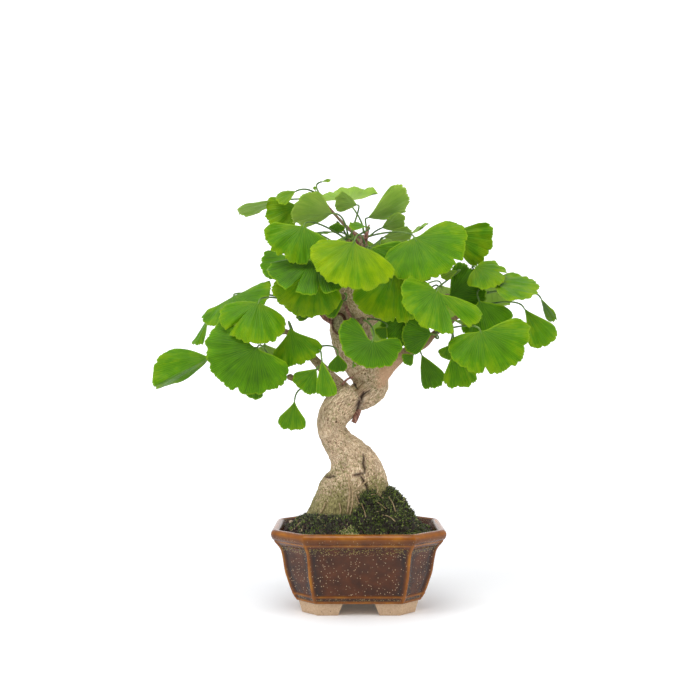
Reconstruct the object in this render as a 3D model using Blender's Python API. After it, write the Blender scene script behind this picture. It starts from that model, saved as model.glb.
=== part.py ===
"""Ginkgo bonsai in a glazed pot.

A small ginkgo with a bent trunk stands in soil in a glazed, eight-sided pot on
four corner feet. Every leaf is its own piece: a petiole that starts at a short
spur of the tree and opens into a fan-shaped blade.

Lengths are written in millimetres and become metres through MM. X runs to the
right of the tree's front, Y to the back and Z up. The origin lies on the
surface that the feet stand on, below the middle of the whole tree's box.
"""
import math

import bmesh
import bpy
import numpy as np
from mathutils import Vector

MM = 0.001
FIT_GAP = 0.35

# Pot
POT_HALF_LENGTH = 62.9
POT_HALF_DEPTH = 54.0
POT_CORNER_CUT = 24.0
POT_CORNER_CUT_PER_INSET = 0.57
POT_CORNER_ROUND = 1.6
POT_FLOOR_TOP = 15.0
POT_BODY_BOTTOM = 9.0
# Height and inset from the rim's outline, up the outside and down the inside
POT_OUTSIDE = (
    (9.0, 18.3), (11.0, 17.8), (18.0, 14.8), (24.0, 12.8), (30.0, 11.0), (38.0, 9.7), (44.3, 8.4),
    (48.0, 6.7), (50.5, 4.7), (53.4, 1.2), (56.0, 0.0), (58.6, 0.2), (60.0, 2.2),
)
POT_INSIDE = ((60.0, 4.0), (58.4, 5.8), (50.0, 10.5), (40.0, 14.5), (25.0, 18.0), (15.0, 22.5))
FOOT_TOP = 11.0
FOOT_TOP_INSET = 19.2
FOOT_SOLE_INSET = 22.3
FOOT_WIDTH = 13.0
FOOT_GAP_HALF_AT_GROUND = 15.0
FOOT_GAP_HALF_AT_TOP = 10.0
SIDE_GAP_NARROWER = 4.0
DRAIN_HOLE_RADIUS = 7.0
DRAIN_HOLE_X = 25.0
CUTTER_OVERLAP = 1.0

# Drainage mesh
MESH_SIDE = 22.0
MESH_THICKNESS = 1.0
MESH_OPENING = 3.0
MESH_HOLES_PER_SIDE = 4

# Soil
SOIL_TOP = 56.0
SOIL_GAP = 0.45

# Moss
MOSS_CENTRE = (19.0, -8.0)
# Height above the soil and half-widths across and deep
MOSS_RINGS = (
    (0.0, 27.0, 25.0), (8.0, 25.5, 24.0), (18.0, 19.0, 18.0), (27.0, 12.0, 12.0), (33.0, 5.0, 5.0),
)
MOSS_LEAN_TO_TRUNK = -0.06
MOSS_SIDES = 16

# Trunk, from the root flare in the soil up to the leader: centre, then half-widths across and deep
TRUNK = (
    ((-2.0, 2.0, 42.0), 37.0, 28.0),
    ((-2.0, 2.0, 52.0), 39.5, 29.0),
    ((-2.5, 1.0, 64.0), 38.0, 27.0),
    ((-3.0, 0.0, 74.0), 32.5, 24.0),
    ((-3.0, -1.0, 84.0), 27.5, 21.0),
    ((-2.5, -2.0, 94.0), 24.0, 19.0),
    ((-3.5, -3.0, 103.0), 19.5, 17.0),
    ((-8.0, -4.0, 112.0), 15.0, 14.5),
    ((-15.0, -5.0, 120.5), 11.5, 12.5),
    ((-20.0, -6.0, 130.0), 10.5, 12.0),
    ((-18.5, -6.0, 140.5), 11.5, 12.5),
    ((-12.0, -5.0, 149.0), 12.5, 13.0),
    ((-3.0, -3.0, 156.0), 12.0, 13.0),
)
TRUNK_UPPER = (
    ((-5.0, -2.0, 152.0), 8.0, 9.0),
    ((2.0, 2.0, 155.0), 11.0, 12.5),
    ((10.0, 6.0, 163.0), 12.5, 14.0),
    ((7.0, 6.0, 173.0), 13.0, 14.5),
    ((1.5, 4.0, 182.0), 13.5, 14.5),
    ((-3.0, 2.0, 192.0), 15.5, 15.0),
    ((-5.5, 1.0, 202.0), 15.5, 14.5),
    ((-8.5, 0.0, 212.0), 13.0, 13.0),
    ((-8.5, 0.0, 222.0), 11.0, 11.0),
    ((-5.0, 1.0, 236.0), 8.0, 8.0),
    ((0.0, 3.0, 252.0), 5.5, 5.5),
    ((4.0, 6.0, 275.0), 2.4, 2.4),
)
TRUNK_SIDES = 12
BRANCH_SIDES = 7
SPUR_RADIUS = 3.0

# Branches: route and half-width at each point
BRANCHES = {
    "right": (
        ((6.0, 2.0, 160.0), 8.0), ((16.0, -2.0, 169.0), 6.2), ((26.0, -4.0, 179.0), 4.6),
        ((36.0, -8.0, 188.0), 3.9), ((48.0, -12.0, 193.0), 3.3), ((56.0, -12.0, 201.0), 2.6),
        ((68.0, -13.0, 210.0), 2.1), ((80.0, -6.0, 218.0), 1.7),
    ),
    "low_left": (
        ((-10.0, -2.0, 156.0), 5.5), ((-26.0, -6.0, 160.0), 3.6), ((-38.0, -10.0, 162.0), 2.8),
        ((-50.0, -16.0, 169.0), 2.0),
    ),
    "left": (
        ((-10.0, 0.0, 158.0), 6.0), ((-26.0, -5.0, 175.0), 4.0), ((-37.0, -8.0, 187.0), 3.0),
        ((-48.0, -8.0, 200.0), 2.4), ((-64.0, -8.0, 206.0), 1.8), ((-84.0, -8.0, 212.0), 1.5),
    ),
    "left_upper": (((-8.0, 0.0, 208.0), 6.0), ((-30.0, -2.0, 221.0), 2.8), ((-50.0, -4.0, 227.0), 1.9)),
    "inner_left": (((-6.0, 0.0, 224.0), 5.0), ((-18.0, 1.0, 233.0), 2.8), ((-30.0, 5.0, 250.0), 1.9)),
    "leader_left": (((0.0, 3.0, 256.0), 4.0), ((-4.0, 1.0, 264.0), 2.4), ((-7.0, -1.0, 271.0), 1.8)),
    "leader_front": (((2.0, 4.0, 258.0), 3.6), ((4.0, -2.0, 263.0), 2.2), ((5.0, -6.0, 267.0), 1.8)),
    "shoot": (((4.0, 6.0, 274.0), 2.0), ((-9.0, 7.0, 284.0), 1.5), ((-27.0, -3.0, 302.0), 1.2)),
    "right_top": (
        ((0.0, 2.0, 242.0), 4.5), ((16.0, 5.0, 248.0), 2.8), ((32.0, 11.0, 256.0), 2.2),
        ((47.0, 14.0, 263.0), 1.6),
    ),
    "upper_right": (
        ((-2.0, 3.0, 210.0), 7.0), ((24.0, 8.0, 221.0), 3.6), ((50.0, 8.0, 228.0), 2.8),
        ((74.0, 5.0, 231.0), 2.2), ((94.0, 3.0, 232.0), 1.7),
    ),
    "front_twig": (((-4.0, -8.0, 206.0), 3.2), ((-8.0, -15.0, 217.0), 2.0), ((-12.0, -17.0, 228.0), 1.5)),
    "front_low": (((-3.0, -5.0, 207.0), 3.4), ((0.0, -10.0, 209.5), 2.4), ((3.0, -15.0, 211.0), 1.8)),
    "back_left": (((-6.0, 6.0, 204.0), 5.0), ((-18.0, 24.0, 216.0), 2.8), ((-30.0, 40.0, 226.0), 1.8)),
    "back_right": (((2.0, 6.0, 206.0), 5.0), ((20.0, 26.0, 220.0), 3.0), ((36.0, 44.0, 230.0), 1.9)),
    "back_top": (((-2.0, 3.0, 244.0), 4.0), ((-1.0, 18.0, 254.0), 2.4), ((0.0, 32.0, 262.0), 1.7)),
    "back_low": (((6.0, 8.0, 170.0), 6.0), ((7.0, 26.0, 188.0), 3.2), ((4.0, 40.0, 200.0), 2.0)),
}
# Spurs: the short swollen shoots that the petioles grow from
SPURS = {
    "leader": (4.0, 6.0, 275.0),
    "leader_left": (-7.0, -1.0, 271.0),
    "leader_front": (5.0, -6.0, 267.0),
    "top_shoot": (-27.0, -3.0, 302.0),
    "right_top": (47.0, 14.0, 263.0),
    "crown_right": (16.0, 3.0, 248.0),
    "upper_left": (-30.0, 5.0, 250.0),
    "inner_left": (-18.0, 0.0, 232.0),
    "left_upper": (-50.0, -4.0, 227.0),
    "left_spur": (-48.0, -8.0, 200.0),
    "left_outer": (-84.0, -8.0, 212.0),
    "left_inner": (-37.0, -9.0, 187.0),
    "low_left": (-50.0, -16.0, 169.0),
    "low_left_inner": (-38.0, -11.0, 161.0),
    "front_low": (3.0, -15.0, 211.0),
    "front_twig": (-12.0, -17.0, 228.0),
    "right_spur": (56.0, -12.0, 201.0),
    "right_mid": (68.0, -13.0, 210.0),
    "right_outer": (80.0, -6.0, 218.0),
    "upper_right_inner": (50.0, 7.0, 228.0),
    "upper_right": (94.0, 3.0, 232.0),
    "back_left": (-30.0, 40.0, 226.0),
    "back_right": (36.0, 44.0, 230.0),
    "back_top": (0.0, 32.0, 262.0),
    "back_low": (4.0, 40.0, 200.0),
}

# Leaves
BLADE_THICKNESS = 0.6
PETIOLE_RADIUS = 0.6
ACROSS = 5
ACROSS_WIDE = 7
PETIOLE_STEPS = 4
BLADE_STEPS = (0.12, 0.5, 1.0)
NECK_OPENING = 0.10
CORNER_ROUND = 0.12
NARROWEST_CURL = 0.35
WIDE_BLADE = 75

LEAVES = {}


def leaf(name, spur, base, aim, length, spread, **shape):
    """Note one leaf: where its blade starts, where it points and how it is bent.

    base is where the petiole meets the blade, length the blade's midline and spread
    half the fan's angle. aim turns the midline in the plane that faces the viewer,
    from right (0) over up (90). lean tips the midline towards the viewer and roll
    turns the blade about it. facing is the side of the tree that the blade is seen
    from, 0 for the front and 180 for the back. Angles are in degrees.

    Shape of the fan: flare is the part of the length over which it opens, skew makes
    one side longer, and taper shortens both sides against the midline. fold bends
    the blade down along the midline, cup curls it across and droop curls it down.
    Shape of the petiole: bend is its straight part before the blade, arch lifts its
    middle and via moves its middle sideways, to the back and up.
    """
    LEAVES[name] = dict(spur=spur, base=base, aim=aim, length=length, spread=spread, **shape)


leaf("leaf_far_left", "low_left", (-108, -15, 184), -153, 48, 46, lean=5, roll=-32, fold=42, taper=0.45)
leaf("leaf_left_curled", "left_outer", (-113, 14, 217), -122, 27, 40, roll=68, cup=30)
leaf("leaf_left_upper", "left_upper", (-93, 2, 232), -60, 34, 80, lean=62, droop=25)
leaf("leaf_left_two_lobed", "left_upper", (-71, -36, 223), -105, 36, 80, lean=40, droop=25, fold=10,
     taper=0.3, arch=-1)
leaf("leaf_left_big", "low_left", (-71, -45, 190), -125, 36, 98, lean=12, droop=20, cup=15, skew=-0.12,
     via=(-14, 4, 0))
leaf("leaf_left_hanging", "low_left_inner", (-46, -26, 153), -97, 23, 36, roll=5, flare=1.0,
     via=(0, -4, -2))
leaf("leaf_left_round", "low_left_inner", (-30, -32, 175), -128, 20, 42, lean=5, flare=0.15)
leaf("leaf_left_oval", "left_inner", (-26, -45, 181), -82, 27, 24, roll=25, flare=0.1, via=(8, 0, 0))
leaf("leaf_left_wedge", "left_spur", (-49, -26, 204), -77, 27, 44, lean=10, flare=0.9)
leaf("leaf_centre_left_low", "inner_left", (-31, -20, 246), -104, 35, 64, lean=15, droop=15, skew=-0.1,
     via=(-2, -2, 0))
leaf("leaf_three_lobed", "upper_left", (-30, -27, 252), -92, 29, 86, lean=42, droop=20, skew=-0.1, arch=7)
leaf("leaf_left_behind", "upper_left", (-47, -2, 258), -170, 31, 42, roll=30)
leaf("leaf_yellow_left", "leader_left", (-39, -35, 276), -112, 27, 68, lean=25, droop=30)
leaf("leaf_top_left_round", "top_shoot", (-44, 1, 299), -150, 22, 50, lean=5, arch=0)
leaf("leaf_top_left_small", "top_shoot", (-46, -9, 308), -155, 17, 45, roll=45)
leaf("leaf_top_far_left", "top_shoot", (-62, 4, 303), -166, 33, 40, roll=102, via=(0, 11, 1))
leaf("leaf_top_lifted", "leader_left", (-18, -14, 290), -177, 32, 60, lean=10, roll=145)
leaf("leaf_top_young", "top_shoot", (-28, 1, 317), 15, 8, 40, roll=-60)
leaf("leaf_top_back", "leader", (-7, 6, 303), 95, 30, 70, lean=-60, roll=180, via=(6, 0, 2))
leaf("leaf_top_low_lobe", "leader_left", (0, -10, 297), 165, 19, 45, roll=125, bend=2)
leaf("leaf_top_rolled", "leader", (6, 0, 289), 19, 37, 45, lean=-10, roll=-135, cup=-70, bend=2,
     via=(5, -3, 0))
leaf("leaf_leader_small", "leader_left", (6, -20, 279), 172, 14, 50, roll=60)
leaf("leaf_centre_bright", "leader_front", (-3, -44, 264), -111, 36, 68, lean=22, droop=25, cup=10, arch=8)
leaf("leaf_centre_behind", "crown_right", (8, -20, 264), -28, 27, 42, lean=4)
leaf("leaf_right_bright", "leader", (40, -26, 271), -66, 38, 92, lean=20, droop=20, skew=0.12, taper=0.25,
     via=(3, -3, 0))
leaf("leaf_right_top", "right_top", (68, 8, 279), -28, 33, 42, lean=10)
leaf("leaf_right_notched", "upper_right", (86, -10, 251), -15, 26, 85, lean=25, roll=-50, droop=30, cup=20,
     via=(10, 0, 2))
leaf("leaf_far_right", "upper_right", (98, -12, 239), -8, 35, 68, lean=10, roll=-50, taper=0.2)
leaf("leaf_far_right_edge", "upper_right", (136, -4, 229), -62, 21, 30, roll=75)
leaf("leaf_far_right_low", "right_outer", (123, -15, 218), -54, 34, 26, flare=0.8)
leaf("leaf_right_big_low", "right_spur", (85, -45, 201), -76, 37, 84, lean=25, droop=25, skew=0.15,
     taper=0.1, arch=0, via=(-6, -10, 0))
leaf("leaf_right_behind_low", "upper_right", (88, -18, 226), -70, 30, 55, lean=5)
leaf("leaf_right_two_lobed", "upper_right_inner", (56, -38, 231), -120, 33, 92, lean=15, skew=0.2,
     via=(0, 0, 5))
leaf("leaf_right_dark", "upper_right_inner", (67, -6, 229), 45, 22, 50, lean=5, via=(4, -5, -6))
leaf("leaf_centre_low", "crown_right", (27, -17, 248), -104, 41, 55, lean=16, droop=12)
leaf("leaf_trunk_front", "front_low", (9, -38, 194), -118, 20, 108, lean=12, skew=-0.15, taper=-0.25)
leaf("leaf_centre_right_low", "upper_right_inner", (37, -14, 214), -118, 24, 55, lean=3)
leaf("leaf_right_folded", "right_spur", (54, -22, 200), 175, 23, 60, fold=6, arch=0,
     via=(0, 0, -6))
leaf("leaf_right_hanging_inner", "right_spur", (47, -1, 187), -66, 29, 30, roll=30, via=(3, 9, 1))
leaf("leaf_right_hanging", "right_mid", (72, -22, 187), -82, 27, 32)
leaf("leaf_top_right_small", "leader", (17, 4, 282), 25, 21, 50, roll=-115, via=(4, 4, -3))
leaf("leaf_back_left", "back_left", (-44, 62, 255), -95, 32, 60, facing=205, lean=20, droop=20)
leaf("leaf_back_centre_left", "back_left", (-24, 84, 262), -95, 33, 60, facing=190, lean=20, droop=20)
leaf("leaf_back_centre_right", "back_right", (38, 78, 262), -80, 34, 62, facing=170, lean=20, droop=20)
leaf("leaf_back_right", "back_right", (68, 58, 246), -95, 33, 62, facing=150, lean=20, droop=20)
leaf("leaf_back_far_right", "upper_right", (103, 30, 250), -85, 31, 60, facing=140, lean=20, droop=20)
leaf("leaf_back_top", "back_top", (-4, 62, 290), -90, 33, 60, facing=185, lean=25, droop=25)
leaf("leaf_back_top_left", "back_top", (-40, 42, 284), -105, 30, 60, facing=215, lean=20, droop=20)
leaf("leaf_back_top_right", "back_top", (34, 46, 286), -75, 31, 60, facing=155, lean=20, droop=20)
leaf("leaf_back_low", "back_low", (6, 66, 214), -90, 26, 60, facing=180, lean=15, droop=15,
     via=(-6, 0, -4))
leaf("leaf_back_centre", "back_low", (6, 86, 230), -90, 30, 64, facing=180, lean=15, droop=15,
     via=(15, -4, 2))
leaf("leaf_back_far_left", "left_outer", (-92, 26, 216), -95, 22, 55, facing=220, lean=15)
leaf("leaf_back_right_low", "right_outer", (96, 26, 206), -85, 26, 58, facing=130, lean=15, droop=15)
leaf("leaf_back_left_low", "left_spur", (-72, 18, 196), -95, 28, 60, facing=200, lean=15, droop=15,
     via=(8, 8, 0))


def clear_scene():
    for item in list(bpy.data.objects):
        bpy.data.objects.remove(item, do_unlink=True)


def make_material(name, colour, roughness, metallic=0.0):
    """A plain finish: base colour, roughness and metallic value of one shader."""
    finish = bpy.data.materials.new(name)
    finish.use_nodes = True
    shader = finish.node_tree.nodes["Principled BSDF"]
    shader.inputs["Base Color"].default_value = (*colour, 1.0)
    shader.inputs["Roughness"].default_value = roughness
    shader.inputs["Metallic"].default_value = metallic
    finish.diffuse_color = (*colour, 1.0)
    return finish


def make_object(name, points, faces, finish=None, parent=None):
    """A closed body from points in millimetres, turned so that its faces look outwards."""
    mesh = bpy.data.meshes.new(name)
    mesh.from_pydata([tuple(float(c) * MM for c in p) for p in points], [], faces)
    body = bmesh.new()
    body.from_mesh(mesh)
    bmesh.ops.recalc_face_normals(body, faces=body.faces)
    if body.calc_volume(signed=True) < 0:
        bmesh.ops.reverse_faces(body, faces=body.faces)
    body.to_mesh(mesh)
    body.free()
    if finish:
        mesh.materials.append(finish)
    item = bpy.data.objects.new(name, mesh)
    bpy.context.scene.collection.objects.link(item)
    item.parent = parent
    return item


def loft(rings):
    """Faces between rings of equal point count, with both ends closed."""
    count = len(rings[0])
    points = [p for ring in rings for p in ring]
    faces = []
    for k in range(len(rings) - 1):
        for j in range(count):
            i = (j + 1) % count
            faces.append((k * count + j, k * count + i, (k + 1) * count + i, (k + 1) * count + j))
    faces.append(tuple(reversed(range(count))))
    last = (len(rings) - 1) * count
    faces.append(tuple(range(last, last + count)))
    return points, faces


def combine(target, tools, operation):
    """Join tools to target, or cut them out of it, and drop the tools."""
    for tool in tools:
        tool.hide_render = True
        tool.display_type = "WIRE"
        cut = target.modifiers.new(operation.lower(), "BOOLEAN")
        cut.operation = operation
        cut.solver = "EXACT"
        cut.object = tool
    graph = bpy.context.evaluated_depsgraph_get()
    result = bpy.data.meshes.new_from_object(target.evaluated_get(graph))
    target.modifiers.clear()
    target.data = result
    for tool in tools:
        bpy.data.objects.remove(tool, do_unlink=True)
    tidy = bmesh.new()
    tidy.from_mesh(result)
    bmesh.ops.remove_doubles(tidy, verts=tidy.verts, dist=0.02 * MM)
    bmesh.ops.dissolve_degenerate(tidy, edges=tidy.edges, dist=0.02 * MM)
    tidy.to_mesh(result)
    tidy.free()


def box(name, low, high):
    x, y, z = zip(low, high)
    points = [(a, b, c) for c in z for b in y for a in x]
    faces = [(0, 2, 3, 1), (4, 5, 7, 6), (0, 1, 5, 4), (2, 6, 7, 3), (0, 4, 6, 2), (1, 3, 7, 5)]
    return make_object(name, points, faces)


def pot_ring(inset, height):
    """The pot's outline: a rectangle with its corners cut off and slightly rounded."""
    across = POT_HALF_LENGTH - inset
    deep = POT_HALF_DEPTH - inset
    cut = POT_CORNER_CUT - POT_CORNER_CUT_PER_INSET * inset
    corners = []
    for sx, sy in ((1, 1), (-1, 1), (-1, -1), (1, -1)):
        pair = [(sx * across, sy * (deep - cut)), (sx * (across - cut), sy * deep)]
        corners += pair if sx * sy > 0 else pair[::-1]
    ring = []
    for k, corner in enumerate(corners):
        here = Vector(corner)
        for other in (corners[k - 1], corners[(k + 1) % len(corners)]):
            towards = (Vector(other) - here).normalized() * POT_CORNER_ROUND
            ring.append((here.x + towards.x, here.y + towards.y, height))
    return ring


def trapezoid_through(name, low_half, high_half, along_y):
    """A cutter with slanted sides that runs right through between the feet."""
    reach = POT_HALF_LENGTH
    low = -CUTTER_OVERLAP
    high = FOOT_TOP + CUTTER_OVERLAP
    rings = []
    for end in (-reach, reach):
        outline = [(-low_half, low), (low_half, low), (high_half, high), (-high_half, high)]
        rings.append([(a, end, c) if along_y else (end, a, c) for a, c in outline])
    points, faces = loft(rings)
    return make_object(name, points, faces)


def cylinder(name, centre, radius, low, high, sides=20):
    turns = [2 * math.pi * k / sides for k in range(sides)]
    rings = []
    for height in (low, high):
        circle = [(radius * math.cos(t), radius * math.sin(t)) for t in turns]
        rings.append([(centre[0] + x, centre[1] + y, height) for x, y in circle])
    points, faces = loft(rings)
    return make_object(name, points, faces)


def make_pot(parent):
    """The pot, pressed and fired in one piece, with four corner feet and two drain holes."""
    finish = make_material("glazed_stoneware", (0.16, 0.07, 0.025), 0.25)
    rings = [pot_ring(inset, height) for height, inset in POT_OUTSIDE + POT_INSIDE]
    points, faces = loft(rings)
    pot = make_object("pot", points, faces, finish, parent)
    feet_rings = [pot_ring(FOOT_SOLE_INSET, 0.0), pot_ring(FOOT_TOP_INSET, FOOT_TOP)]
    feet = make_object("feet", *loft(feet_rings))
    hollow_inset = FOOT_SOLE_INSET + FOOT_WIDTH
    hollow_heights = (-CUTTER_OVERLAP, FOOT_TOP + CUTTER_OVERLAP)
    hollow = make_object("hollow", *loft([pot_ring(hollow_inset, height) for height in hollow_heights]))
    front_gap = trapezoid_through("front_gap", FOOT_GAP_HALF_AT_GROUND, FOOT_GAP_HALF_AT_TOP, True)
    side_low = FOOT_GAP_HALF_AT_GROUND - SIDE_GAP_NARROWER
    side_high = FOOT_GAP_HALF_AT_TOP - SIDE_GAP_NARROWER
    side_gap = trapezoid_through("side_gap", side_low, side_high, False)
    combine(feet, [hollow, front_gap, side_gap], "DIFFERENCE")
    combine(pot, [feet], "UNION")
    holes = []
    hole_bottom = POT_BODY_BOTTOM - CUTTER_OVERLAP
    hole_top = POT_FLOOR_TOP + CUTTER_OVERLAP
    for side in (-1, 1):
        centre = (side * DRAIN_HOLE_X, 0.0)
        holes.append(cylinder("hole", centre, DRAIN_HOLE_RADIUS, hole_bottom, hole_top))
    combine(pot, holes, "DIFFERENCE")
    return pot


def make_drainage_mesh(name, side, finish, parent):
    """A square of moulded plastic mesh that keeps the soil off a drain hole."""
    low = POT_FLOOR_TOP + FIT_GAP
    high = low + MESH_THICKNESS
    half = MESH_SIDE / 2
    centre = side * DRAIN_HOLE_X
    bar = (MESH_SIDE - MESH_OPENING * MESH_HOLES_PER_SIDE) / (MESH_HOLES_PER_SIDE + 1)
    pitch = bar + MESH_OPENING
    reach = MESH_OPENING / 2
    sheet = box(name, (centre - half, -half, low), (centre + half, half, high))
    sheet.data.materials.append(finish)
    sheet.parent = parent
    openings = []
    for i in range(MESH_HOLES_PER_SIDE):
        for j in range(MESH_HOLES_PER_SIDE):
            x = centre + (i - (MESH_HOLES_PER_SIDE - 1) / 2) * pitch
            y = (j - (MESH_HOLES_PER_SIDE - 1) / 2) * pitch
            near_corner = (x - reach, y - reach, low - CUTTER_OVERLAP)
            far_corner = (x + reach, y + reach, high + CUTTER_OVERLAP)
            openings.append(box("opening", near_corner, far_corner))
    combine(sheet, openings, "DIFFERENCE")
    return sheet


def tube_rings(route, sides, grow=0.0):
    """Rings square to a route, each an ellipse: half-width across, half-width deep."""
    centres = [np.array(stop[0], float) for stop in route]
    rings = []
    for k, stop in enumerate(route):
        ahead = centres[min(k + 1, len(centres) - 1)]
        behind = centres[max(k - 1, 0)]
        along = (ahead - behind) / np.linalg.norm(ahead - behind)
        if k == 0 and len(stop) > 2:
            along = np.array((0.0, 0.0, 1.0))
        deep = np.array((0.0, 1.0, 0.0)) - along * along[1]
        if np.linalg.norm(deep) < 0.4:
            deep = np.array((1.0, 0.0, 0.0)) - along * along[0]
        deep /= np.linalg.norm(deep)
        across = np.cross(deep, along)
        wide = stop[1] + grow
        thick = stop[-1] + grow
        ring = []
        for j in range(sides):
            turn = 2 * math.pi * j / sides
            ring.append(centres[k] + across * wide * math.cos(turn) + deep * thick * math.sin(turn))
        rings.append(ring)
    return rings


def make_tube(name, route, sides, grow=0.0):
    return make_object(name, *loft(tube_rings(route, sides, grow)))


def trunk_cutter(name):
    """The lower trunk with a little room all round, for the pocket that it stands in."""
    start, wide, thick = TRUNK[0]
    lowered = ((start[0], start[1], start[2] - FIT_GAP), wide, thick)
    return make_tube(name, (lowered,) + TRUNK[1:], TRUNK_SIDES, FIT_GAP)


def make_trunk(parent):
    """Trunk, branches, twigs and spurs, which grew as one piece of wood."""
    finish = make_material("ginkgo_bark", (0.42, 0.33, 0.23), 0.85)
    trunk = make_object("trunk", *loft(tube_rings(TRUNK, TRUNK_SIDES)), finish, parent)
    limbs = [make_tube("upper", TRUNK_UPPER, TRUNK_SIDES)]
    for name, route in BRANCHES.items():
        limbs.append(make_tube(name, route, BRANCH_SIDES))
    for centre in SPURS.values():
        knob = bmesh.new()
        bmesh.ops.create_icosphere(knob, subdivisions=2, radius=SPUR_RADIUS * MM)
        bmesh.ops.translate(knob, verts=knob.verts, vec=Vector(centre) * MM)
        mesh = bpy.data.meshes.new("spur")
        knob.to_mesh(mesh)
        knob.free()
        limb = bpy.data.objects.new("spur", mesh)
        bpy.context.scene.collection.objects.link(limb)
        limbs.append(limb)
    combine(trunk, limbs, "UNION")
    return trunk


def make_soil(parent):
    """The soil: it fills the pot and holds the root flare in a pocket of its own shape."""
    finish = make_material("bonsai_soil", (0.05, 0.032, 0.028), 0.95)
    mesh_top = POT_FLOOR_TOP + FIT_GAP + MESH_THICKNESS + FIT_GAP
    heights = [mesh_top] + [height for height, inset in POT_INSIDE[-2:1:-1]] + [SOIL_TOP]
    wall = sorted(POT_INSIDE)
    insets = np.interp(heights, [w[0] for w in wall], [w[1] for w in wall])
    rings = [pot_ring(inset + SOIL_GAP, height) for height, inset in zip(heights, insets)]
    soil = make_object("soil", *loft(rings), finish, parent)
    combine(soil, [trunk_cutter("pocket")], "DIFFERENCE")
    return soil


def make_moss(parent):
    """The cushion of moss that leans on the right of the root flare."""
    finish = make_material("moss", (0.02, 0.035, 0.012), 0.95)
    turns = [2 * math.pi * j / MOSS_SIDES for j in range(MOSS_SIDES)]
    middle_y = MOSS_CENTRE[1]
    rings = []
    for rise, across, deep in MOSS_RINGS:
        x = MOSS_CENTRE[0] + MOSS_LEAN_TO_TRUNK * rise
        height = SOIL_TOP + FIT_GAP + rise
        rings.append([(x + across * math.cos(t), middle_y + deep * math.sin(t), height) for t in turns])
    moss = make_object("moss_mound", *loft(rings), finish, parent)
    combine(moss, [trunk_cutter("flare")], "DIFFERENCE")
    return moss


def leaf_axes(shape):
    """Unit vectors across the blade, along its midline and out of its upper side."""
    facing = math.radians(shape.get("facing", 0))
    aim = math.radians(shape["aim"])
    lean = math.radians(shape.get("lean", 0))
    roll = math.radians(shape.get("roll", 0))
    towards = np.array((math.sin(facing), -math.cos(facing), 0.0))
    right = np.array((math.cos(facing), math.sin(facing), 0.0))
    up = np.array((0.0, 0.0, 1.0))
    along = (right * math.cos(aim) + up * math.sin(aim)) * math.cos(lean) + towards * math.sin(lean)
    flat = towards - along * np.dot(towards, along)
    flat /= np.linalg.norm(flat)
    normal = flat * math.cos(roll) + np.cross(along, flat) * math.sin(roll)
    return np.cross(normal, along), along, normal


def bend(distance, offset, angle, length):
    """Curl a strip: the point at distance along it, offset above it, after the bend."""
    if abs(angle) < 1e-3:
        return distance, offset
    turn = angle * distance / length
    radius = length / angle
    forward = (radius + offset) * np.sin(turn)
    return forward, (radius + offset) * np.cos(turn) - radius


def blade_point(shape, u, v):
    """Points of the blade's middle surface: u across it from -1 to 1, v from base to margin."""
    across, along, normal = leaf_axes(shape)
    length = shape["length"]
    half = math.radians(shape["spread"])
    flare = shape.get("flare", 0.35)
    opening = (1 - np.exp(-3 * v / flare)) / (1 - math.exp(-3 / flare))
    angle = u * half * (NECK_OPENING + (1 - NECK_OPENING) * opening)
    reach = v * length * (1 + shape.get("skew", 0) * u) * (1 - shape.get("taper", 0.05) * u * u)
    reach = reach * (1 - CORNER_ROUND * u**6)
    x = reach * np.sin(angle)
    y = reach * np.cos(angle)
    fold = math.radians(shape.get("fold", 0))
    z = -np.abs(x) * math.sin(fold)
    x = x * math.cos(fold)
    width = length * max(NARROWEST_CURL, math.sin(min(half, math.pi / 2)))
    x, z = bend(x, z, math.radians(shape.get("cup", 0)), width)
    y, z = bend(y, z, math.radians(shape.get("droop", 0)), length)
    return np.array(shape["base"], float) + np.outer(x, across) + np.outer(y, along) + np.outer(z, normal)


def blade_normal(shape, u, v):
    step = 0.01
    side = blade_point(shape, u + step, v) - blade_point(shape, u - step, v)
    out = blade_point(shape, u, v + step) - blade_point(shape, u, v - step)
    normal = np.cross(out, side)
    normal /= np.linalg.norm(normal, axis=1)[:, None]
    flip = np.sign(normal @ leaf_axes(shape)[2])
    return normal * flip[:, None]


def petiole_route(shape, steps):
    """The stalk: straight out of its spur, then a smooth curve into the blade's midline."""
    along = leaf_axes(shape)[1]
    spur = np.array(SPURS[shape["spur"]])
    end = np.array(shape["base"], float)
    before_end = end - along * shape.get("bend", 7.0)
    middle = (spur + before_end) / 2 + np.array((0.0, 0.0, shape.get("arch", 3.0)))
    middle = middle + np.array(shape.get("via", (0.0, 0.0, 0.0)))
    out = (middle - spur) / np.linalg.norm(middle - spur)
    start = spur + out * (SPUR_RADIUS + FIT_GAP)
    after_start = start + out * np.linalg.norm(before_end - start) * 0.45
    t = np.linspace(0, 1, steps + 1)[:, None]
    s = 1 - t
    return s**3 * start + 3 * s * s * t * after_start + 3 * s * t * t * before_end + t**3 * end


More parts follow.
